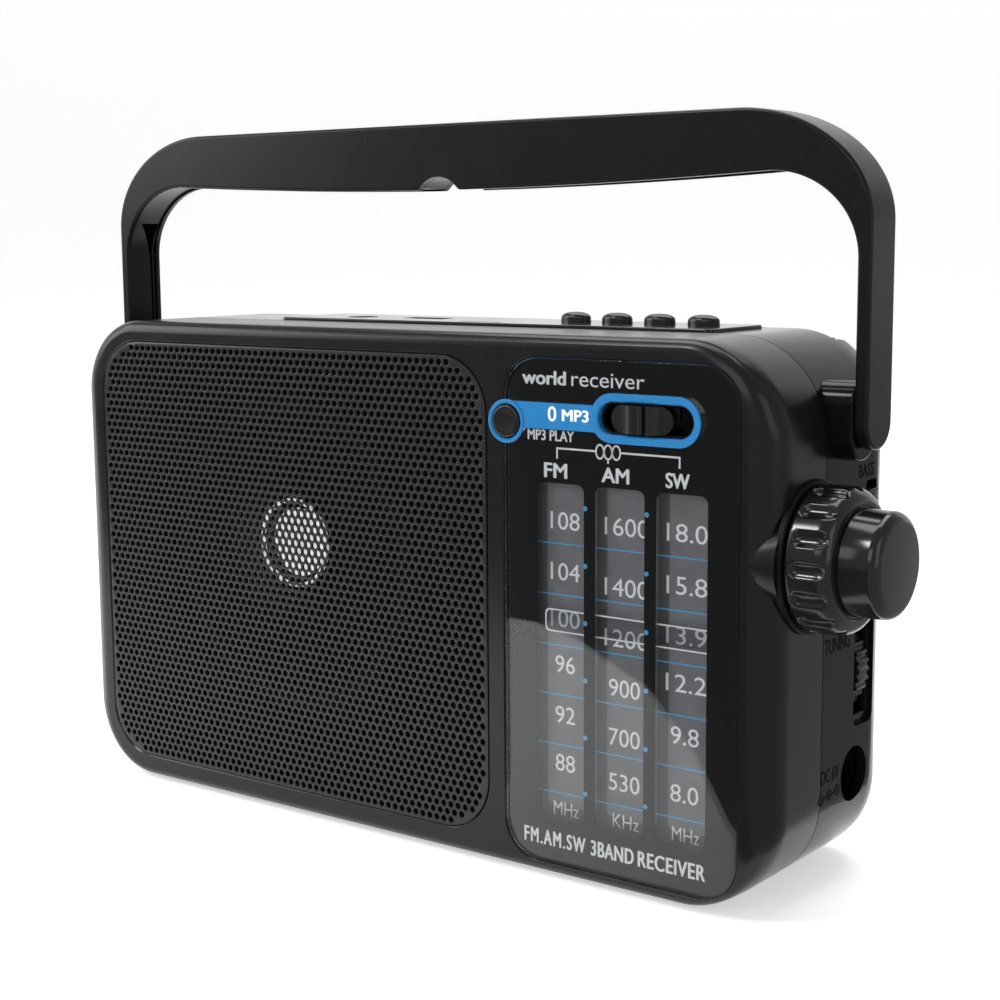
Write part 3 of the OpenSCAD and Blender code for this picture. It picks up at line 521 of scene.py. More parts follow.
def top_tools():
    tools = [
        prism(circle(PHONES_X, PHONES_Y, PHONES_MOUTH_R), TOP_Z - 6, TOP_Z + 4, "z"),
        box_mm((USB_X - USB_W / 2, USB_Y - USB_D / 2, TOP_Z - 6),
               (USB_X + USB_W / 2, USB_Y + USB_D / 2, TOP_Z + 5)),
        prism(rounded(CARD_X, CARD_Y, CARD_W, CARD_D, 0.5, 4), TOP_Z - 6, TOP_Z + 5, "z")]
    for i in range(4):
        shape = oval(BUTTON_X + i * BUTTON_STEP, BUTTON_Y, BUTTON_L / 2 + 0.3, BUTTON_W / 2 + 0.3)
        tools.append(prism(shape, TOP_Z - 6, TOP_Z + 6, "z"))
    return tools


def bosses(r, y0, y1):
    return [prism(circle(x, z, r, 40), y0, y1) for x, z in SCREWS]


# ---------- shells ----------


FAIRING_X = 96.4


def make_fairing():
    """Cone on the front right corner that leads into the tuning ring."""
    stations = [(FAIRING_X - 1.2, 2.6), (FAIRING_X - 0.9, 3.7), (FAIRING_X - 0.3, 4.4)]
    stations += [(FAIRING_X + (HALF_W - FAIRING_X) * k / 14, 4.6 + 5.8 * (k / 14) ** 0.95) for k in range(15)]
    rings = []
    for x, r in stations:
        y = FRONT_Y + max(r, 4.6) + 0.2
        rings.append([(x, y + cos(a) * r, KNOB_Z + sin(a) * r)
                      for a in (radians(k * 5) for k in range(72))])
    return loft("fairing", rings)


def make_front_case():
    case = keep(body_solid(0), box_mm((-200, -100, -10), (200, SEAM_Y - GAP, 300)))
    add(case, make_fairing())
    hollow = cut(body_solid(WALL), *bosses(3, FRONT_Y, SEAM_Y + 1))
    cut(case, hollow)
    cut(case, *bosses(SCREW_R + 0.05, SEAM_Y - 6, SEAM_Y))
    cut(case, flared(lambda g: grille_outline(0.25 + g), FRONT_Y, FRONT_Y + GRILLE_RECESS, 0.35))
    cut(case, flared(lambda g: dial_outline(0.15 + g), FRONT_Y, FRONT_Y + DIAL_RECESS, 0.3))
    cut(case, *trim_tools(0.05, FRONT_Y, FRONT_Y + DIAL_RECESS, 0.2))
    cut(case, prism(circle(*SPEAKER, 40), FRONT_Y - 1, FRONT_Y + 10))
    cut(case, prism(rounded(DIAL[0], WINDOWS[0][1], 49, 80, 3), FRONT_Y, FRONT_Y + 6))
    cut(case, prism(stadium(SLOT_X, SLOT_Z, SLOT_W - 1, SLOT_H - 1), FRONT_Y, FRONT_Y + 6))
    cut(case, prism(circle(PLAY_X, PLAY_Z, PLAY_R + 0.2), FRONT_Y, FRONT_Y + 6))
    cut(case, *side_tools())
    case.name = "front_case"
    return place(shade(case), "front", "radio", "shell_black", "front_shell")


def both_sides(near, far):
    """X spans of a feature on the left and of the same one on the right."""
    return (-far, -near), (near, far)


def pivot_outline(grow):
    return rounded(0, HINGE_Z, BLOCK_W + 2 * grow, BLOCK_H + 2 * grow, 5, 12)


def make_back_case():
    case = keep(body_solid(0), box_mm((-200, SEAM_Y + GAP, -10), (200, 100, 300)))
    hollow = body_solid(WALL)
    cut(hollow, box_mm((BAY[0] - 1.4, BAY[2] - 1.4, BAY[3] - 1.4), (BAY[1] + 1.4, BACK_Y - 3, BAY[4] + 1.4)))
    cut(hollow, box_mm((-HALF_W - 1, NOTCH_Y - WALL, NOTCH_Z - WALL), (NOTCH_X + WALL, BACK_Y + 1, TOP_Z + 1)))
    cut(hollow, *bosses(3.4, SEAM_Y - 1, BACK_Y))
    cut(case, hollow)
    cut(case, box_mm((BAY[0], BAY[2], BAY[3]), (BAY[1], BACK_Y - 3, BAY[4])))
    cut(case, box_mm((-HALF_W - 1, NOTCH_Y, NOTCH_Z), (NOTCH_X, BACK_Y + 1, TOP_Z + 1)))
    cut(case, box_mm((DOOR[0], BACK_Y - 8, DOOR[2]), (DOOR[1], BACK_Y + 1, DOOR[3])))
    cut(case, prism(circle(DOOR_PIN_Y, DOOR_PIN_Z, 0.56, 24), DOOR[0] - 1, DOOR[1] + 1, "x"))
    cut(case, *bosses(1.7, SEAM_Y - 1, BACK_Y + 1), *bosses(2.7, BACK_Y - 6, BACK_Y + 1))
    for low, high in both_sides(BLOCK_X0, HALF_W + 6):
        cut(case, prism(pivot_outline(0), low, high, "x"))
    cut(case, *side_tools())
    cut(case, box_mm((PANEL[0] - 0.1, PANEL[2] - 0.1, PANEL_TOP - PANEL_T),
                     (PANEL[1] + 0.1, PANEL[3] + 0.1, TOP_Z + 5)))
    cut(case, *top_tools())
    cut(case, prism(circle(ANTENNA_X, ANTENNA_Y, 2.05, 32), NOTCH_Z - WALL - 1, NOTCH_Z + 9, "z"))
    case.name = "back_case"
    return place(shade(case), "back", "radio", "shell_black", "back_shell")


make_front_case()
make_back_case()


def make_top_panel():
    x0, x1, y0, y1 = PANEL
    panel = prism(rounded((x0 + x1) / 2, (y0 + y1) / 2, x1 - x0, y1 - y0, 2, 8),
                  PANEL_TOP - PANEL_T, PANEL_TOP, "z", "top_plate")
    soften(panel, 0.35)
    cut(panel, *top_tools())
    return place(shade(panel), "top", "radio", "shell_black", "top_panel")


make_top_panel()


# ---------- perforated grille ----------

HOLE_PITCH, ROW_PITCH, HOLE_R = 2.14, 1.853, 0.79
PLATE_T, RIDGE, PROUD = 0.5, 0.13, 0.8
GRILLE_MARGIN = 1.2
HOLE_SIDES = 10
# Points of a hole's rim that each edge of its six-sided cell joins
SPANS = [(0, 2), (2, 3), (3, 5), (5, 7), (7, 8), (8, 10)]


def make_grille():
    """Perforated plate: one six-sided cell per hole, with a flat border round the field."""
    cx, cz, w, h = GRILLE
    front = FRONT_Y + GRILLE_RECESS - PROUD
    back = front + PLATE_T
    margin, corner = GRILLE_MARGIN, GRILLE_R - GRILLE_MARGIN

    def inside(x, z):
        u, v = abs(x - cx) - (w / 2 - margin - corner), abs(z - cz) - (h / 2 - margin - corner)
        return hypot(max(u, 0), max(v, 0)) < corner - 0.1

    verts, faces, corner_ids, count = [], [], {}, {}
    lean, tall = HOLE_PITCH / 2, ROW_PITCH * 2 / 3

    def hex_corner(x, z, y):
        key = (round(x, 3), round(z, 3), y)
        if key not in corner_ids:
            corner_ids[key] = len(verts)
            verts.append((x, y - RIDGE if y == front else y, z))
        return corner_ids[key]

    rows = int(h / 2 / ROW_PITCH) + 1
    cols = int(w / 2 / HOLE_PITCH) + 1
    hexagon = [(0, tall), (-lean, tall / 2), (-lean, -tall / 2), (0, -tall), (lean, -tall / 2), (lean, tall / 2)]
    for row in range(-rows, rows + 1):
        for col in range(-cols, cols + 1):
            x = cx + (col + (row % 2) / 2) * HOLE_PITCH
            z = cz + row * ROW_PITCH
            if not inside(x, z):
                continue
            hole = arc(x, z, HOLE_R, HOLE_R, 90, 450, HOLE_SIDES)[:-1]
            rings = []
            for y in (front, back):
                start = len(verts)
                verts += [(a, y, b) for a, b in hole]
                rings.append(list(range(start, start + HOLE_SIDES)))
            for y, ring in zip((front, back), rings):
                rim = [hex_corner(round(x + a, 4), round(z + b, 4), y) for a, b in hexagon]
                for k, (p, q) in enumerate(SPANS):
                    inner = [ring[i % HOLE_SIDES] for i in range(p, q + 1)]
                    faces.append([rim[k], rim[(k + 1) % 6]] + inner[::-1])
                    edge = tuple(sorted((rim[k], rim[(k + 1) % 6])))
                    count[edge] = count.get(edge, 0) + 1
            for k in range(HOLE_SIDES):
                n = (k + 1) % HOLE_SIDES
                faces.append([rings[0][k], rings[0][n], rings[1][n], rings[1][k]])
    outline = rounded(cx, cz, w, h, GRILLE_R, 14)
    side_of = {i: key[2] for key, i in corner_ids.items()}
    n, outer_ids = len(outline), {}
    for y in (front, back):
        border = [e for e, uses in count.items() if uses == 1 and side_of[e[0]] == y]
        ids = sorted({i for e in border for i in e})
        index, first = {v: i for i, v in enumerate(ids)}, len(ids)
        points = [Vector((verts[i][0], verts[i][2])) for i in ids] + [Vector(p) for p in outline]
        edges = [(index[a], index[b]) for a, b in border]
        edges += [(first + i, first + (i + 1) % n) for i in range(n)]
        outer_ids[y] = list(range(len(verts), len(verts) + n))
        verts += [(a, y, b) for a, b in outline]
        name_of = ids + outer_ids[y]
        found = delaunay_2d_cdt(points, edges, [], 1, 1e-5)
        origin = [o[0] for o in found[3]]
        for tri in found[2]:
            middle = sum((found[0][i] for i in tri), Vector((0, 0))) / len(tri)
            if all(origin[i] < first for i in tri) and is_in_field(middle, cx, cz, inside):
                continue
            faces.append([name_of[origin[i]] for i in tri])
    for a, b in zip(outer_ids[front], outer_ids[back]):
        ahead = (a - outer_ids[front][0] + 1) % n
        faces.append([a, outer_ids[front][ahead], outer_ids[back][ahead], b])
    plate = mesh_object("perforated_grille", verts, faces)
    return place(shade(plate, 40, weighted=False), "grille", "radio", "grille_black", "speaker_grille")


def is_in_field(point, cx, cz, inside):
    """True if the nearest cell centre belongs to the perforated field."""
    best = None
    row0 = round((point.y - cz) / ROW_PITCH)
    for row in (row0 - 1, row0, row0 + 1):
        offset = (row % 2) / 2
        col0 = round((point.x - cx) / HOLE_PITCH - offset)
        for col in (col0 - 1, col0, col0 + 1):
            x, z = cx + (col + offset) * HOLE_PITCH, cz + row * ROW_PITCH
            away = hypot(point.x - x, point.y - z)
            if best is None or away < best[0]:
                best = (away, x, z)
    return inside(best[1], best[2])


make_grille()

# ---------- dial ----------

PLATE_Y = node_mm("dial_scale")[0].y


def seen_on(y, x, z):
    """Where a point drawn on the front face lies when it is really on a plane at depth y."""
    t = (y - CAMERA_AT.y) / (FRONT_Y - CAMERA_AT.y)
    return CAMERA_AT.x + (x - CAMERA_AT.x) * t, CAMERA_AT.z + (z - CAMERA_AT.z) * t


def text_mesh(string, x0, x1, z0, z1, y, bold=0.0, depth=0.04, spacing=1.0):
    """Raised lettering that fills the given box and faces the front; bold widens its strokes."""
    curve = bpy.data.curves.new("text", "FONT")
    curve.body, curve.resolution_u, curve.space_character = string, 6, spacing
    holder = linked("text", curve)
    mesh = evaluated(holder)
    drop(holder)
    xs, ys = [v.co.x for v in mesh.vertices], [v.co.y for v in mesh.vertices]
    low_x, span_x, low_y, span_y = min(xs), max(xs) - min(xs), min(ys), max(ys) - min(ys)
    flat, whole = bmesh.new(), bmesh.new()
    flat.from_mesh(mesh)
    bmesh.ops.remove_doubles(flat, verts=flat.verts, dist=1e-4)
    letter = [((v.co.x - low_x) / span_x, (v.co.y - low_y) / span_y) for v in flat.verts]
    shifts = [(0, 0)] if not bold else [(-bold, 0), (0, 0), (bold, 0), (0, bold / 2), (0, -bold / 2)]
    for k, (dx, dz) in enumerate(shifts):
        copy = flat.copy()
        for v, (u, w) in zip(copy.verts, letter):
            v.co = Vector((x0 + bold + u * (x1 - x0 - 2 * bold) + dx, y,
                           z0 + bold / 2 + w * (z1 - z0 - bold) + dz)) * MM
        raised = bmesh.ops.extrude_face_region(copy, geom=copy.faces[:])
        for v in (g for g in raised["geom"] if isinstance(g, bmesh.types.BMVert)):
            v.co.y -= (depth - 0.004 * k) * MM
        bmesh.ops.recalc_face_normals(copy, faces=copy.faces)
        part = bpy.data.meshes.new("letter")
        copy.to_mesh(part)
        copy.free()
        whole.from_mesh(part)
    flat.free()
    whole.to_mesh(mesh)
    whole.free()
    return linked("text", mesh)


def stroke(points, width, y, depth=0.04, closed=False):
    """Line of constant width drawn on a plane at depth y."""
    n, left, right = len(points), [], []
    for i, p in enumerate(points):
        before = points[i - 1] if closed or i else p
        after = points[(i + 1) % n] if closed or i < n - 1 else p
        a, b = Vector(p) - Vector(before), Vector(after) - Vector(p)
        a, b = (a.normalized() if a.length else b.normalized()), (b.normalized() if b.length else a.normalized())
        normal = Vector((-(a.y + b.y), a.x + b.x)).normalized()
        reach = width / 2 / max(normal.dot(Vector((-a.y, a.x))), 0.5)
        left.append((p[0] + normal.x * reach, p[1] + normal.y * reach))
        right.append((p[0] - normal.x * reach, p[1] - normal.y * reach))
    verts, faces = [], []
    for t in (y, y - depth):
        verts += [(a, t, b) for a, b in left] + [(a, t, b) for a, b in right]
    for i in range(n if closed else n - 1):
        j = (i + 1) % n
        faces += [(i, j, n + j, n + i), (2 * n + i, 3 * n + i, 3 * n + j, 2 * n + j),
                  (i, 2 * n + i, 2 * n + j, j), (n + i, n + j, 3 * n + j, 3 * n + i)]
    if not closed:
        faces += [(0, n, 3 * n, 2 * n), (n - 1, 3 * n - 1, 4 * n - 1, 2 * n - 1)]
    return mesh_object("stroke", verts, faces)


LENS_T = 1.2
PRINT_Y = FRONT_Y + LENS_T


def front_text(string, x0, x1, z0, z1, bold=0.0, spacing=1.0, y=PRINT_Y):
    (a, c), (b, d) = seen_on(y, x0, z0), seen_on(y, x1, z1)
    return text_mesh(string, a, b, c, d, y, bold, spacing=spacing)


def front_line(points, width=0.42, closed=False):
    return stroke([seen_on(PRINT_Y, *p) for p in points], width, PRINT_Y, closed=closed)


SCALES = (  # unit and its left edge; left edge and width of a number by its length; numbers and heights
    ("MHz", 50.7, {3: (50.05, 7.7), 2: (51.25, 5.2)},
     (("108", 82.5), ("104", 71.2), ("100", 60.7), ("96", 50.4), ("92", 38.9), ("88", 27.9))),
    ("KHz", 66.5, {4: (64.3, 11.1), 3: (65.45, 7.95)},
     (("1600", 82.5), ("1400", 69.3), ("1200", 58.1), ("900", 47.1), ("700", 36.1), ("530", 26.0))),
    ("MHz", 81.65, {4: (79.9, 9.9), 3: (81.2, 6.9)},
     (("18.0", 82.6), ("15.8", 71.4), ("13.9", 60.7), ("12.2", 50.4), ("9.8", 39.0), ("8.0", 26.3))),
)
DIGIT_H, UNIT_W, UNIT_Z = 3.9, 6.8, (15.75, 18.85)
LINE_Z = (77.4, 66.0, 54.6, 43.4, 32.0, 20.8)
DOT_Z = (85.7, 73.0, 60.3, 47.5, 34.6, 21.8)


def make_scale():
    low, high = node_mm("dial_scale")
    plate = box_mm(low, high, "scale_plate")
    soften(plate, 0.15, 2)
    place(shade(plate), "scale", "radio", "scale_grey", "dial_scale")
    fields = []
    for x0, x1 in ((49.2, 62.3), (64.95, 77.9), (80.6, 93.6)):
        a, bottom = seen_on(PLATE_Y, x0, 18.0)
        b, _ = seen_on(PLATE_Y, x1, 18.0)
        top = high.z - 0.4
        shape = rounded((a + b) / 2, (bottom + top) / 2, min(b, high.x - 0.2) - a, top - bottom, 1.2, 6)
        fields.append(prism(shape, PLATE_Y - 0.02, PLATE_Y + 0.1))
    place(shade(joined("scale_fields", fields)), "scale_light", "radio", "scale_grey")
    print_y = PLATE_Y - 0.02
    letters = []
    for unit, unit_left, spans, marks in SCALES:
        for string, z in marks:
            left, width = spans[len(string)]
            letters.append(front_text(string, left, left + width, z - DIGIT_H / 2, z + DIGIT_H / 2, y=print_y))
        letters.append(front_text(unit, unit_left, unit_left + UNIT_W, *UNIT_Z, y=print_y))
    place(joined("scale_numbers", letters), "white", "radio", "dial_print")
    lines = []
    for z in LINE_Z:
        (a, c), (b, _) = seen_on(print_y, 46.2, z), seen_on(print_y, 93, z)
        lines.append(stroke([(a, c), (min(b, high.x), c)], 0.32, print_y))
    place(joined("scale_lines", lines), "blue_print", "radio", "dial_print")


def make_mask():
    y0, y1 = PRINT_Y, FRONT_Y + DIAL_RECESS
    mask = prism(dial_outline(-0.2), y0, y1, name="dial_face")
    for x, z, w, h in WINDOWS:
        cut(mask, prism(rounded(x, z, w, h, 1.8), y0 - 1, y1 + 1))
    cut(mask, *trim_tools(0.1, y0 - 1, y1 + 1))
    place(shade(mask), "mask", "radio", "dial_print", "dial_mask")


LETTERING = (  # text, left, right, bottom, top, boldness, spacing
    ("FM", 48.3, 54.5, 91.8, 95.1, 0.14),
    ("AM", 63.4, 70.5, 91.8, 95.1, 0.14),
    ("SW", 79.5, 85.4, 91.8, 95.1, 0.14),
    ("MP3 PLAY", 43.9, 56.3, 99.9, 102.3, 0.08),
    ("FM.AM.SW", 42.5, 59.3, 8.0, 11.6, 0.11, 1.22),
    ("3BAND", 60.7, 72.0, 8.0, 11.6, 0.13, 1.08),
    ("RECEIVER", 73.0, 90.0, 8.0, 11.6, 0.13, 1.08),
    ("world", 42.5, 54.2, 112.1, 115.2, 0.16),
    ("receiver", 55.6, 74.2, 112.1, 115.2),
)
BRACKETS = (
    [(51.8, 96.1), (51.8, 98.4), (61.9, 98.4)],
    [(68.3, 98.4), (82.9, 98.4), (82.9, 96.1)],
    [(65.1, 96.8), (65.1, 95.9)],
)
LINK_X, LINK_Z = (63.0, 65.1, 67.2), 98.35


def make_front_print():
    white = [front_text(*row) for row in LETTERING] + [front_line(points) for points in BRACKETS]
    white += [front_line(oval(x, LINK_Z, 1.0, 1.5, 32), 0.4, closed=True) for x in LINK_X]
    place(joined("dial_lettering", white), "white", "radio", "dial_print")
    dots = []
    for x in (59.2, 74.9):
        for z in DOT_Z:
            a, b = seen_on(PRINT_Y, x, z)
            dots.append(prism(circle(a, b, 0.55, 24), PRINT_Y - 0.04, PRINT_Y))
    place(joined("dial_dots", dots), "blue_print", "radio", "dial_print")


def make_lens():
    lens = prism(dial_outline(0), FRONT_Y, PRINT_Y - 0.06, name="lens")
    soften(lens, 0.35)
    cut(lens, *trim_tools(0.1, FRONT_Y - 1, FRONT_Y + 3))
    place(shade(lens), "lens", "radio", "lens_clear", "dial_lens")


def make_pointer():
    """Clear bar with a white outline, on a carrier that runs on the rail at its right end."""
    low, high = node_mm("dial_pointer")
    mid, half, r = (low.z + high.z) / 2, 2.75, 1.2

    def left_end(x):
        return arc(x + r, mid + half - r - (x - low.x), r, r, 90, 180, 8) + arc(
            x + r, mid - half + r + (x - low.x), r, r, 180, 270, 8)

    outline = [(93, mid - half), (93, mid + half)] + left_end(low.x)
    bar = prism(outline, low.y, low.y + 1, name="pointer_bar")
    place(shade(soften(bar, 0.15, 2)), "pointer", "pointer", "pointer_clear", "dial_pointer")
    path = [(92.8, mid + half - 0.3)] + left_end(low.x + 0.3) + [(92.8, mid - half + 0.3)]
    place(stroke(path, 0.34, low.y, 0.04), "white", "pointer", "pointer_clear").name = "pointer_outline"
    carrier = box_mm((92, low.y + 1.02, mid - 4), (high.x, high.y, mid + 4), "pointer_carrier")
    cut(carrier, prism(circle(94.5, -24.6, 1.06, 24), mid - 6, mid + 6, "z"))
    place(shade(carrier), "nylon", "pointer", "nylon")


make_scale()
make_mask()
make_front_print()
make_lens()
make_pointer()


# ---------- blue inlay and front controls ----------


def make_trim():
    y1 = FRONT_Y + DIAL_RECESS
    inlay = trim_tools(0, FRONT_Y, y1)
    base = add(inlay[0], *inlay[1:])
    raised = [prism(stadium(SLOT_X, SLOT_Z, TRIM_W, TRIM_H), FRONT_Y - 0.3, y1),
              prism(circle(PLAY_X, PLAY_Z, PLAY_RING_R), FRONT_Y - 0.3, y1)]
    for solid in raised:
        soften(solid, 0.28)
    add(base, *raised)
    cut(base, flared(lambda g: stadium(SLOT_X, SLOT_Z, SLOT_W + 2 * g, SLOT_H + 2 * g), FRONT_Y - 0.3, y1 + 1, 0.3))
    cut(base, flared(lambda g: circle(PLAY_X, PLAY_Z, PLAY_R + 0.2 + g), FRONT_Y - 0.3, y1 + 1, 0.3))
    base.name = "blue_inlay"
    place(shade(base), "blue", "radio", "trim_blue", "blue_trim")
    label = [front_text("0", 49.4, 51.6, 104.2, 107.5, 0.05, y=FRONT_Y - 0.001),
             front_text("MP3", 53.1, 60.1, 104.4, 107.0, 0.12, y=FRONT_Y - 0.001)]
    place(joined("inlay_lettering", label), "white", "radio", "dial_print")


def make_play_button():
    profile = [(0, -0.28), (1.6, -0.32), (2.6, -0.42), (3.1, -0.5), (3.45, -0.42), (3.66, -0.16), (3.7, 0.2),
               (3.7, 3.4), (2, 3.4), (2, 4.8), (0, 4.8)]
    cap = lathe("play_cap", profile, (PLAY_X, FRONT_Y, PLAY_Z), "y")
    place(shade(cap, 50), "control", "play", "control_black", "play_button")


def make_band_slider():
    """Slider with a low ramp on its left, a grooved grip, and a low plate on its right."""
    mid, half = SLOT_X - 1.9, SLOT_H / 2 - 0.55
    side = [(-6.95, 0.6), (-4.4, 0.5), (-2.2, -0.9), (-1.5, -1.25), (-0.9, -1.3), (-0.5, -0.9), (0.4, -0.8),
            (0.8, -1.3), (1.2, -1.4), (1.7, -1.0), (1.75, -0.1), (2.5, -0.1), (2.6, -1.0), (3.2, -1.35),
            (4.2, -1.0), (5.2, 0.2), (8.45, 0.6), (8.45, 2.8), (-6.95, 2.8)]
    knob = prism([(mid + x, FRONT_Y + y) for x, y in side], SLOT_Z - half, SLOT_Z + half, "z", "band_knob")
    keep(knob, prism(stadium(SLOT_X - 1.15, SLOT_Z, 15.4, 2 * half), FRONT_Y - 3, FRONT_Y + 3))
    soften(knob, 0.3, 3, 24)
    add(knob, box_mm((mid - 0.9, FRONT_Y + 2, SLOT_Z - 1.6), (mid + 2.3, -16.4, SLOT_Z + 1.6)))
    place(shade(knob), "control", "band", "control_black", "band_slider")


make_trim()
make_play_button()
make_band_slider()


# ---------- tuning knob ----------

RING_RECESSES = 15


def make_ring():
    """Grip ring: a turned body with long rounded recesses pressed into its rim."""
    around, x0 = RING_RECESSES * 18, RING_X0
    profile = [(RING_R - 0.6, 0.0), (RING_R - 0.2, 0.12), (RING_R, 0.5)]
    profile += [(RING_R, 0.5 + 6 * i / 14) for i in range(1, 15)]
    profile += arc(RING_R - 3.2, RING_L - 3.3, 3.2, 3.3, 9, 90, 9)
    profile += [(CAP_R + 0.7, RING_L - 0.02), (CAP_R + 0.45, RING_L - 0.4), (SPINDLE_R - 0.2, RING_L - 0.4)]
    half_l, half_w, mid = 3.9, 1.65, 4.9
    rings = []
    for r, t in profile:
        ring = []
        for k in range(around):
            a = 2 * pi * k / around
            across = ((a * RING_RECESSES / (2 * pi)) % 1 - 0.5) * 2 * pi * RING_R / RING_RECESSES
            along = max(abs(t - mid) - (half_l - half_w), 0)
            edge = hypot(across, along) / half_w
            sink = 1.1 * max(0, 1 - edge ** 2) ** 0.55 if r > CAP_R + 1 else 0
            ring.append((x0 + t, KNOB_Y + (r - sink) * cos(a), KNOB_Z + (r - sink) * sin(a)))
        rings.append(ring)
    bore = [(x0, KNOB_Y + y, KNOB_Z + z) for y, z in circle(0, 0, SPINDLE_R - 0.2, around)]
    ring = loft("grip_ring", [bore] + rings, ends=False)
    place(shade(ring, 55, weighted=False), "knob", "tuning", "knob_black", "tuning_ring")


def make_cap():
    profile = [(0, -0.35), (CAP_R + 0.1, -0.35), (CAP_R + 0.1, 0.25), (CAP_R, 0.6), (CAP_R - 0.05, CAP_L - 2.8)]
    rim = CAP_R - 2.6
    profile += arc(rim, CAP_L - 2.8, 2.6, 2.4, 9, 90, 9)
    profile += [(rim * f, CAP_L - 0.4 + 0.4 * (1 - f * f)) for f in (0.8, 0.6, 0.4, 0.2, 0)]
    cap = lathe("knob_cap", profile, (RING_X0 + RING_L, KNOB_Y, KNOB_Z), "x", 120)
    place(shade(cap, 40, weighted=False), "knob", "tuning", "knob_black", "tuning_cap")


# Thin disc round the knob's foot, darker than the shell; it shows as a dark crescent above the grip ring.
def make_dark_disc():
    profile = [(SPINDLE_R + 2, -0.4), (16.5, -0.4), (16.5, 0.7), (16.2, 0.95), (SPINDLE_R + 2, 0.95)]
    rings = [[(HALF_W + t, KNOB_Y + r * c, KNOB_Z + r * w) for r, t in profile] for c, w in circle(0, 0, 1, 96)]
    place(shade(loft("knob_dark_disc", rings, ends=False)), "dark", "radio", "shell_black")


make_dark_disc()
make_ring()
make_cap()


# ---------- side controls and labels ----------


def on_side(obj):
    """Turns print made for the front so that it lies on the right side, read from the right."""
    for v in obj.data.vertices:
        v.co = Vector((HALF_W * MM - v.co.y, v.co.x, v.co.z))
    return obj


def side_text(string, y0, y1, z0, z1, bold=0.0):
    return on_side(text_mesh(string, y0, y1, z0, z1, 0, bold))


def side_line(points, width=0.3, closed=False):
    return on_side(stroke(points, width, 0, closed=closed))


def make_side_labels():
    labels = [side_text("BASS", 8.5, 16.0, 91.5, 94.4, 0.06), side_text("TUNING", -6.2, 5.8, 54.6, 58.0, 0.06),
              side_text("DC 6V", -6.8, 1.6, 25.9, 29.1, 0.06)]
    rings = [(-6.7, 22.7), (-2.9, 23.0), (0.9, 23.3)]
    for y, z in rings:
        labels.append(side_line(circle(y, z, 1.05, 32), closed=True))
    for (a, b), (c, d) in zip(rings, rings[1:]):
        labels.append(side_line([(a + 1.05, b), (c - 1.05, d)]))
    labels += [side_line([(-7.2, 22.7), (-6.2, 22.7)]), side_line([(0.4, 23.3), (1.4, 23.3)]),
               side_line([(0.9, 22.8), (0.9, 23.8)]), side_line(circle(-2.9, 23.0, 0.4, 16), closed=True)]
    place(joined("side_lettering", labels), "side_print", "radio", "dial_print")


def make_volume_wheel():
    teeth, r, steps = 36, 12, 8
    outline = []
    for k in range(teeth * steps):
        a = 2 * pi * k / (teeth * steps)
        rim = r - 0.28 + 0.28 * max(min(cos(a * teeth) * 1.6, 1), -1)
        outline.append((WHEEL_X + rim * cos(a), WHEEL_Z + rim * sin(a)))
    wheel = prism(outline, WHEEL_Y, WHEEL_Y + WHEEL_T, name="volume_disc")
    soften(wheel, 0.3, 2, 60)
    add(wheel, prism(circle(WHEEL_X, WHEEL_Z, 2.5, 40), 4, WHEEL_Y + 1))
    place(shade(wheel), "control", "volume", "control_black", "volume_wheel")


def make_bass_slider():
    x0, x1 = HALF_W - 3, HALF_W + 0.6
    z0, z1 = BASS_Z + 0.2, BASS_Z + 4
    tab = box_mm((x0, BASS_Y - 2.2, z0), (x1, BASS_Y + 2.2, z1), "bass_knob")
    for i in range(3):
        z = z0 + 0.95 * (i + 1)
        cut(tab, box_mm((x1 - 0.4, BASS_Y - 3, z - 0.2), (x1 + 1, BASS_Y + 3, z + 0.2)))
    soften(tab, 0.16, 2)
    add(tab, box_mm((HALF_W - 7.8, BASS_Y - 1.4, BASS_Z + 0.6), (x0 + 0.2, BASS_Y + 1.4, BASS_Z + 3.6)))
    place(shade(tab), "control", "bass", "control_black", "bass_slider")


make_side_labels()
make_volume_wheel()
make_bass_slider()


# ---------- top buttons ----------


def make_buttons():
    for i in range(4):
        low, high = node_mm(f"top_button_{i + 1}")
        cx, cy = (low.x + high.x) / 2, (low.y + high.y) / 2
        a, b = (high.x - low.x) / 2, (high.y - low.y) / 2
        rise = 1.5
        levels = [(low.z, 1.0), (high.z - rise, 1.0)]
        for k in range(1, 12):
            t = radians(90 * k / 11)
            levels.append((high.z - rise + rise * sin(t), cos(t) ** 0.8 if k < 11 else 0.02))
        rings = [[(x, y, z) for x, y in oval(cx, cy, a * f, b * f)] for z, f in levels]
        button = loft(f"button_dome_{i + 1}", rings)
        place(shade(button, 50, weighted=False), "control", f"button_{i + 1}", "control_black",
              f"top_button_{i + 1}")


make_buttons()


# ---------- handle ----------

HANDLE_LOW, HANDLE_HIGH = node_mm("handle")
HALF_OUT, HALF_IN = HANDLE_HIGH.x, HANDLE_HIGH.x - 3.2
HANDLE_TOP, GRIP_H, HANDLE_D = HANDLE_HIGH.z, 13.4, 12
OUTER_A, OUTER_B, INNER_A, INNER_B, GRIP_SAG = 32, 24, 21, 18.5, 2.4
COVER_W, COVER_T = 8.4, 1
NOTCH_R, NOTCH_DROP = 7.6, 20.2


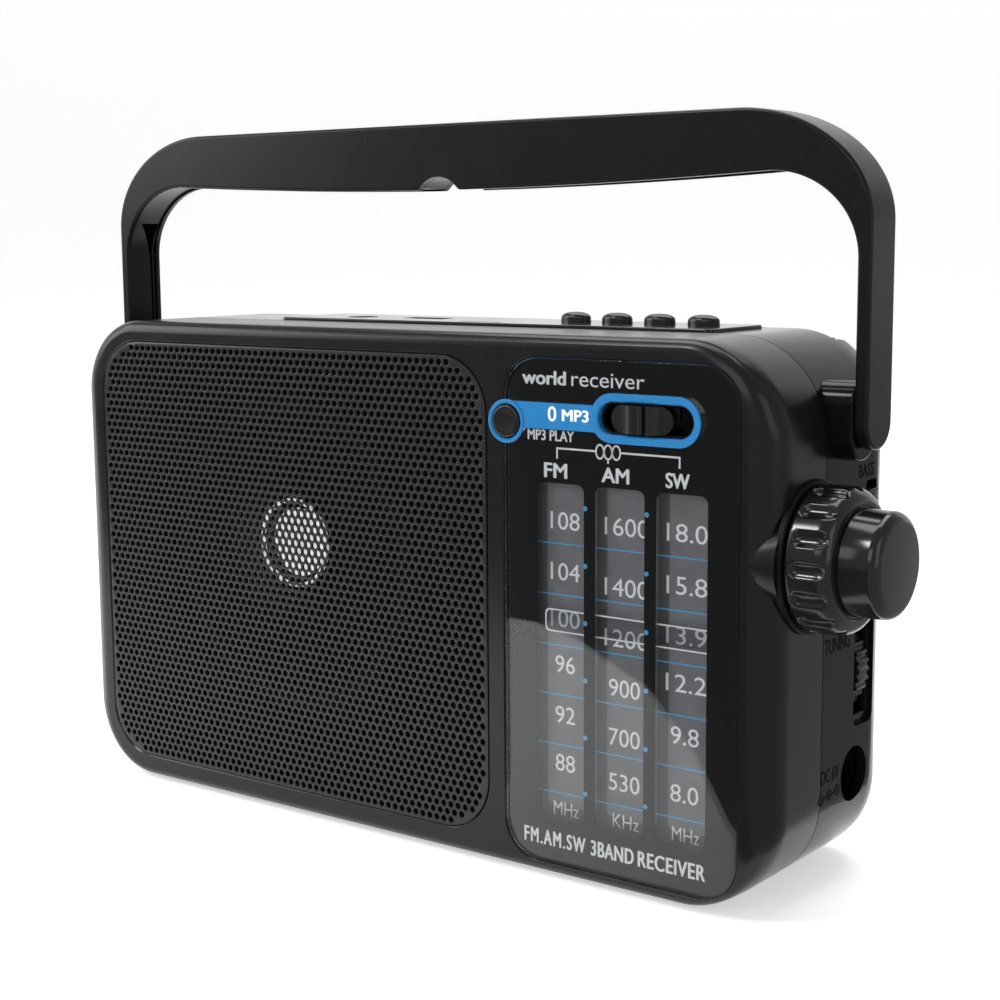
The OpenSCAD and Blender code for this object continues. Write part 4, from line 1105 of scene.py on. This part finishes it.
def handle_outline(out, inner, foot):
    """Front outline of the whole handle, between an outer line and an inner one drawn in."""
    outer = arc(HALF_OUT - OUTER_A, HANDLE_TOP - OUTER_B, OUTER_A - out, OUTER_B - out, 0, 90, 30)
    hollow = arc(HALF_IN - INNER_A, HANDLE_TOP - GRIP_H - INNER_B, INNER_A + inner, INNER_B + inner, 0, 90, 26)
    belly = [((HALF_IN - INNER_A) * (1 - k / 12), HANDLE_TOP - GRIP_H + inner - GRIP_SAG * (1 - (1 - k / 12) ** 2))
             for k in range(1, 13)]
    half = [(HALF_OUT - out, foot)] + outer
    under = [(HALF_IN + inner, foot)] + hollow + belly
    left = [(-x, z) for x, z in half[::-1]]
    left_under = [(-x, z) for x, z in under[:-1]]
    return half + left + left_under + under[::-1]


def handle_ends(r, reach):
    """Slab with a half-round foot that trims the arms' lower ends."""
    profile = [(-r, 300), (-r, HINGE_Z)] + arc(0, HINGE_Z, r, r, 180, 360, 32)[1:] + [(r, 300)]
    return prism(profile, -reach, reach, "x")


def trumpets():
    """Cutters for the flared slots in the inner faces of the arms."""
    rear = [(4.0, 148.2), (3.65, 146.8), (3.4, 145), (3.25, 143), (3.2, 141), (3.2, 116)]
    front = [(-2.8, 148.2), (-1.5, 147), (-0.2, 145.4), (0.9, 143.6), (1.8, 141.6), (2.3, 139.2), (2.5, 136.5),
             (2.55, 116)]
    return [prism(rear + front[::-1], low, high, "x") for low, high in both_sides(HALF_IN - 9, HALF_IN + 1.7)]


def make_handle():
    arch = prism(handle_outline(0, 0, HINGE_Z - 10), -HANDLE_D / 2, HANDLE_D / 2, name="handle_arch")
    keep(arch, handle_ends(HANDLE_D / 2, 200))
    soften(arch, 0.85, 5, 50)
    channel = prism(handle_outline(1.4, -5, HINGE_Z + 9), -COVER_W / 2, COVER_W / 2)
    cut(channel, box_mm((-200, -20, 0), (200, 20, HINGE_Z + 9)))
    cut(arch, channel)
    cut(arch, prism(circle(0, HANDLE_TOP - NOTCH_DROP, NOTCH_R, 72), -20, 20))
    for low, high in both_sides(100.2, HALF_IN + 1):
        add(arch, prism(circle(0, HINGE_Z, 3, 40), low, high, "x"))
    place(shade(arch), "handle", "handle", "handle_black", "handle")

    half_d = COVER_W / 2 - 0.22
    liner = prism(handle_outline(1.6, 0.5, HINGE_Z + 9.2), -half_d, half_d, name="handle_liner")
    hollow = prism(handle_outline(1.4, 0.5 + COVER_T, HINGE_Z), -20, 20)
    cut(liner, hollow, box_mm((-200, -20, 0), (200, 20, HINGE_Z + 9.2)), *trumpets())
    collar = prism(circle(0, HANDLE_TOP - NOTCH_DROP, NOTCH_R + 1.1, 72), -half_d, half_d)
    add(liner, keep(collar, prism(handle_outline(1.6, 0.6, HINGE_Z), -20, 20)))
    cut(liner, prism(circle(0, HANDLE_TOP - NOTCH_DROP, NOTCH_R, 72), -20, 20))
    place(shade(liner), "handle", "handle", "handle_black", "handle_cover")


def make_pivot_blocks():
    blocks = []
    for low, high in both_sides(BLOCK_X0 + 0.02, HALF_IN - 0.3):
        block = prism(pivot_outline(-0.02), low, high, "x")
        soften(block, 0.7, 4)
        cut(block, prism(circle(0, HINGE_Z, 3.06, 40), -200, 200, "x"))
        blocks.append(block)
    place(shade(joined("pivot_blocks", blocks)), "back", "radio", "shell_black", "handle_blocks")


make_handle()
make_pivot_blocks()


# ---------- speaker ----------


CAP_AT = (SPEAKER[0] - 1.2, 0, SPEAKER[1] + 2.6)  # where the photo shows it, just off the cone's middle


def make_speaker():
    """Middle of the cone, bright from silver with a painted glow: a shallow disc inside a narrow ring of the same
    silver.
    """
    low, high = node_mm("dust_cap")
    disc = [(0, low.y + 1.2)] + [(x, low.y + 2.8 - y) for y, x in arc(0, 0, 1.6, 8.9, 9, 90, 9)]
    disc += [(8.9, low.y + 3.4), (0, low.y + 3.4)]
    dome = lathe("dust_dome", disc, CAP_AT, "y", 72)
    place(shade(dome, 50, weighted=False), "silver", "radio", "aluminium", "dust_cap")
    bead = oval(10.75, low.y + 0.7, 0.5, 0.7, 12)
    rings = [[(CAP_AT[0] + r * c, y, CAP_AT[2] + r * w) for r, y in bead] for c, w in circle(0, 0, 1, 72)]
    place(shade(loft("dust_ring", rings, ends=False)), "silver", "radio", "aluminium")
    plate = [(0, low.y + 3.3), (11.1, low.y + 2.2), (11.1, low.y + 4.4), (0, low.y + 4.4)]
    base = lathe("dust_base", plate, CAP_AT, "y", 64)
    place(shade(base), "paper", "radio", "paper")


make_speaker()


# ---------- finishes of the CAD nodes that stay ----------

FINISH = {
    "rubber": "rubber_feet",
    "steel": "case_screws band_switch usb_port card_reader volume_pot battery_springs battery_plates pointer_rails "
             "spindle_bracket handle_screws tuning_spindle",
    "paper": "speaker_cone",
    "magnet": "speaker_magnet ferrite_rod",
    "board": "main_board media_board",
    "nylon": "tuning_capacitor capacitor_drum",
    # The if_cans share the silver with its painted glow.
    "silver": "if_cans",
    "cell": "board_capacitors battery_cells",
    "copper": "ferrite_coil",
    "dark": "dc_jack headphone_jack button_switches bass_switch speaker_basket speaker_screws speaker_surround",
    "back": "battery_door",
    "chrome": "antenna_base antenna_tube_1 antenna_tube_2 antenna_tube_3 antenna_tube_4",
}
for mat, names in FINISH.items():
    for name in names.split():
        finish_with(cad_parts[name], mat)

# ---------- floor and light ----------


FLOOR_HALF, FLOOR_NEAR, BEND_AT, BEND_R, WALL_TOP = 6000, -4000, 2600, 1400, 3500


def make_floor():
    """Pale floor that curves up into the backdrop behind the object."""
    profile = [(FLOOR_NEAR, 0), (-1500, 0), (0, 0), (1500, 0)] + arc(BEND_AT, BEND_R, BEND_R, BEND_R, -90, 0, 15)
    profile += [(BEND_AT + BEND_R, WALL_TOP)]
    yaw = Matrix.Rotation(CAMERA_YAW, 3, "Z")
    verts = [yaw @ Vector((side, along, z)) for along, z in profile for side in (-FLOOR_HALF, FLOOR_HALF)]
    faces = [(2 * i, 2 * i + 1, 2 * i + 3, 2 * i + 2) for i in range(len(profile) - 1)]
    floor = mesh_object("floor", verts, faces)
    finish_with(floor, "floor")
    floor.data.polygons.foreach_set("use_smooth", [True] * len(floor.data.polygons))
    if sum(p.normal.z for p in floor.data.polygons) < 0:
        floor.data.flip_normals()


CARD_Z, CARD_EDGE = 3, 2500
FRONT_CARD = [(-CARD_EDGE, -250), (-107, -240), (-79, -226), (-20, -180), (30, -125), (69, -76), (110, -40),
              (117, -40), (117, -CARD_EDGE), (-CARD_EDGE, -CARD_EDGE)]
SIDE_CARD = rect(118, CARD_EDGE, -CARD_EDGE, CARD_EDGE)


def make_cards():
    """Cards on the floor that only reflections see: dark in the dial lens, grey in the right side."""
    for name, points, mat in (("dark_card", FRONT_CARD, "card"), ("side_card", SIDE_CARD, "side_card")):
        card = mesh_object(name, [(x, y, CARD_Z) for x, y in points], [tuple(range(len(points)))])
        finish_with(card, mat)
        card.visible_camera = card.visible_diffuse = card.visible_shadow = card.visible_transmission = False


LIGHTS = (  # name, place, size and power of each area light; all point at the object's middle
    ("overhead", (-100, 250, 900), (900, 700), 7.5),
    ("left_side", (-900, -500, 500), (600, 700), 5),
    ("right_side", (950, -150, 350), (420, 600), 0.8),
    ("key", (-450, -650, 900), (220, 220), 3.2),
    ("front_fill", (150, -1100, 650), (900, 500), 2.4),
)
SKY_LIGHT, SKY_SEEN = 0.38, 0.9


def make_light():
    for name, at, size, power in LIGHTS:
        data = bpy.data.lights.new(name, "AREA")
        data.shape, data.size, data.size_y, data.energy = "RECTANGLE", size[0] * MM, size[1] * MM, power
        lamp = linked(name, data)
        lamp.location = Vector(at) * MM
        lamp.rotation_euler = (Vector((0, 0, 80)) - Vector(at)).to_track_quat("-Z", "Y").to_euler()


def make_sky():
    """Soft white surroundings that look brighter past the floor's edge than the light they give."""
    world = bpy.data.worlds.new("studio")
    world.use_nodes = True
    nodes, links = world.node_tree.nodes, world.node_tree.links
    mix = nodes.new("ShaderNodeMixShader")
    links.new(nodes.new("ShaderNodeLightPath").outputs["Is Camera Ray"], mix.inputs[0])
    for i, (sky, strength) in enumerate(((nodes["Background"], SKY_LIGHT),
                                         (nodes.new("ShaderNodeBackground"), SKY_SEEN))):
        sky.inputs["Color"].default_value = (1, 1, 1, 1)
        sky.inputs["Strength"].default_value = strength
        links.new(sky.outputs[0], mix.inputs[i + 1])
    links.new(mix.outputs[0], nodes["World Output"].inputs["Surface"])
    bpy.context.scene.world = world
    bpy.context.scene.view_settings.view_transform = "Standard"


make_floor()
make_cards()
make_light()
make_sky()
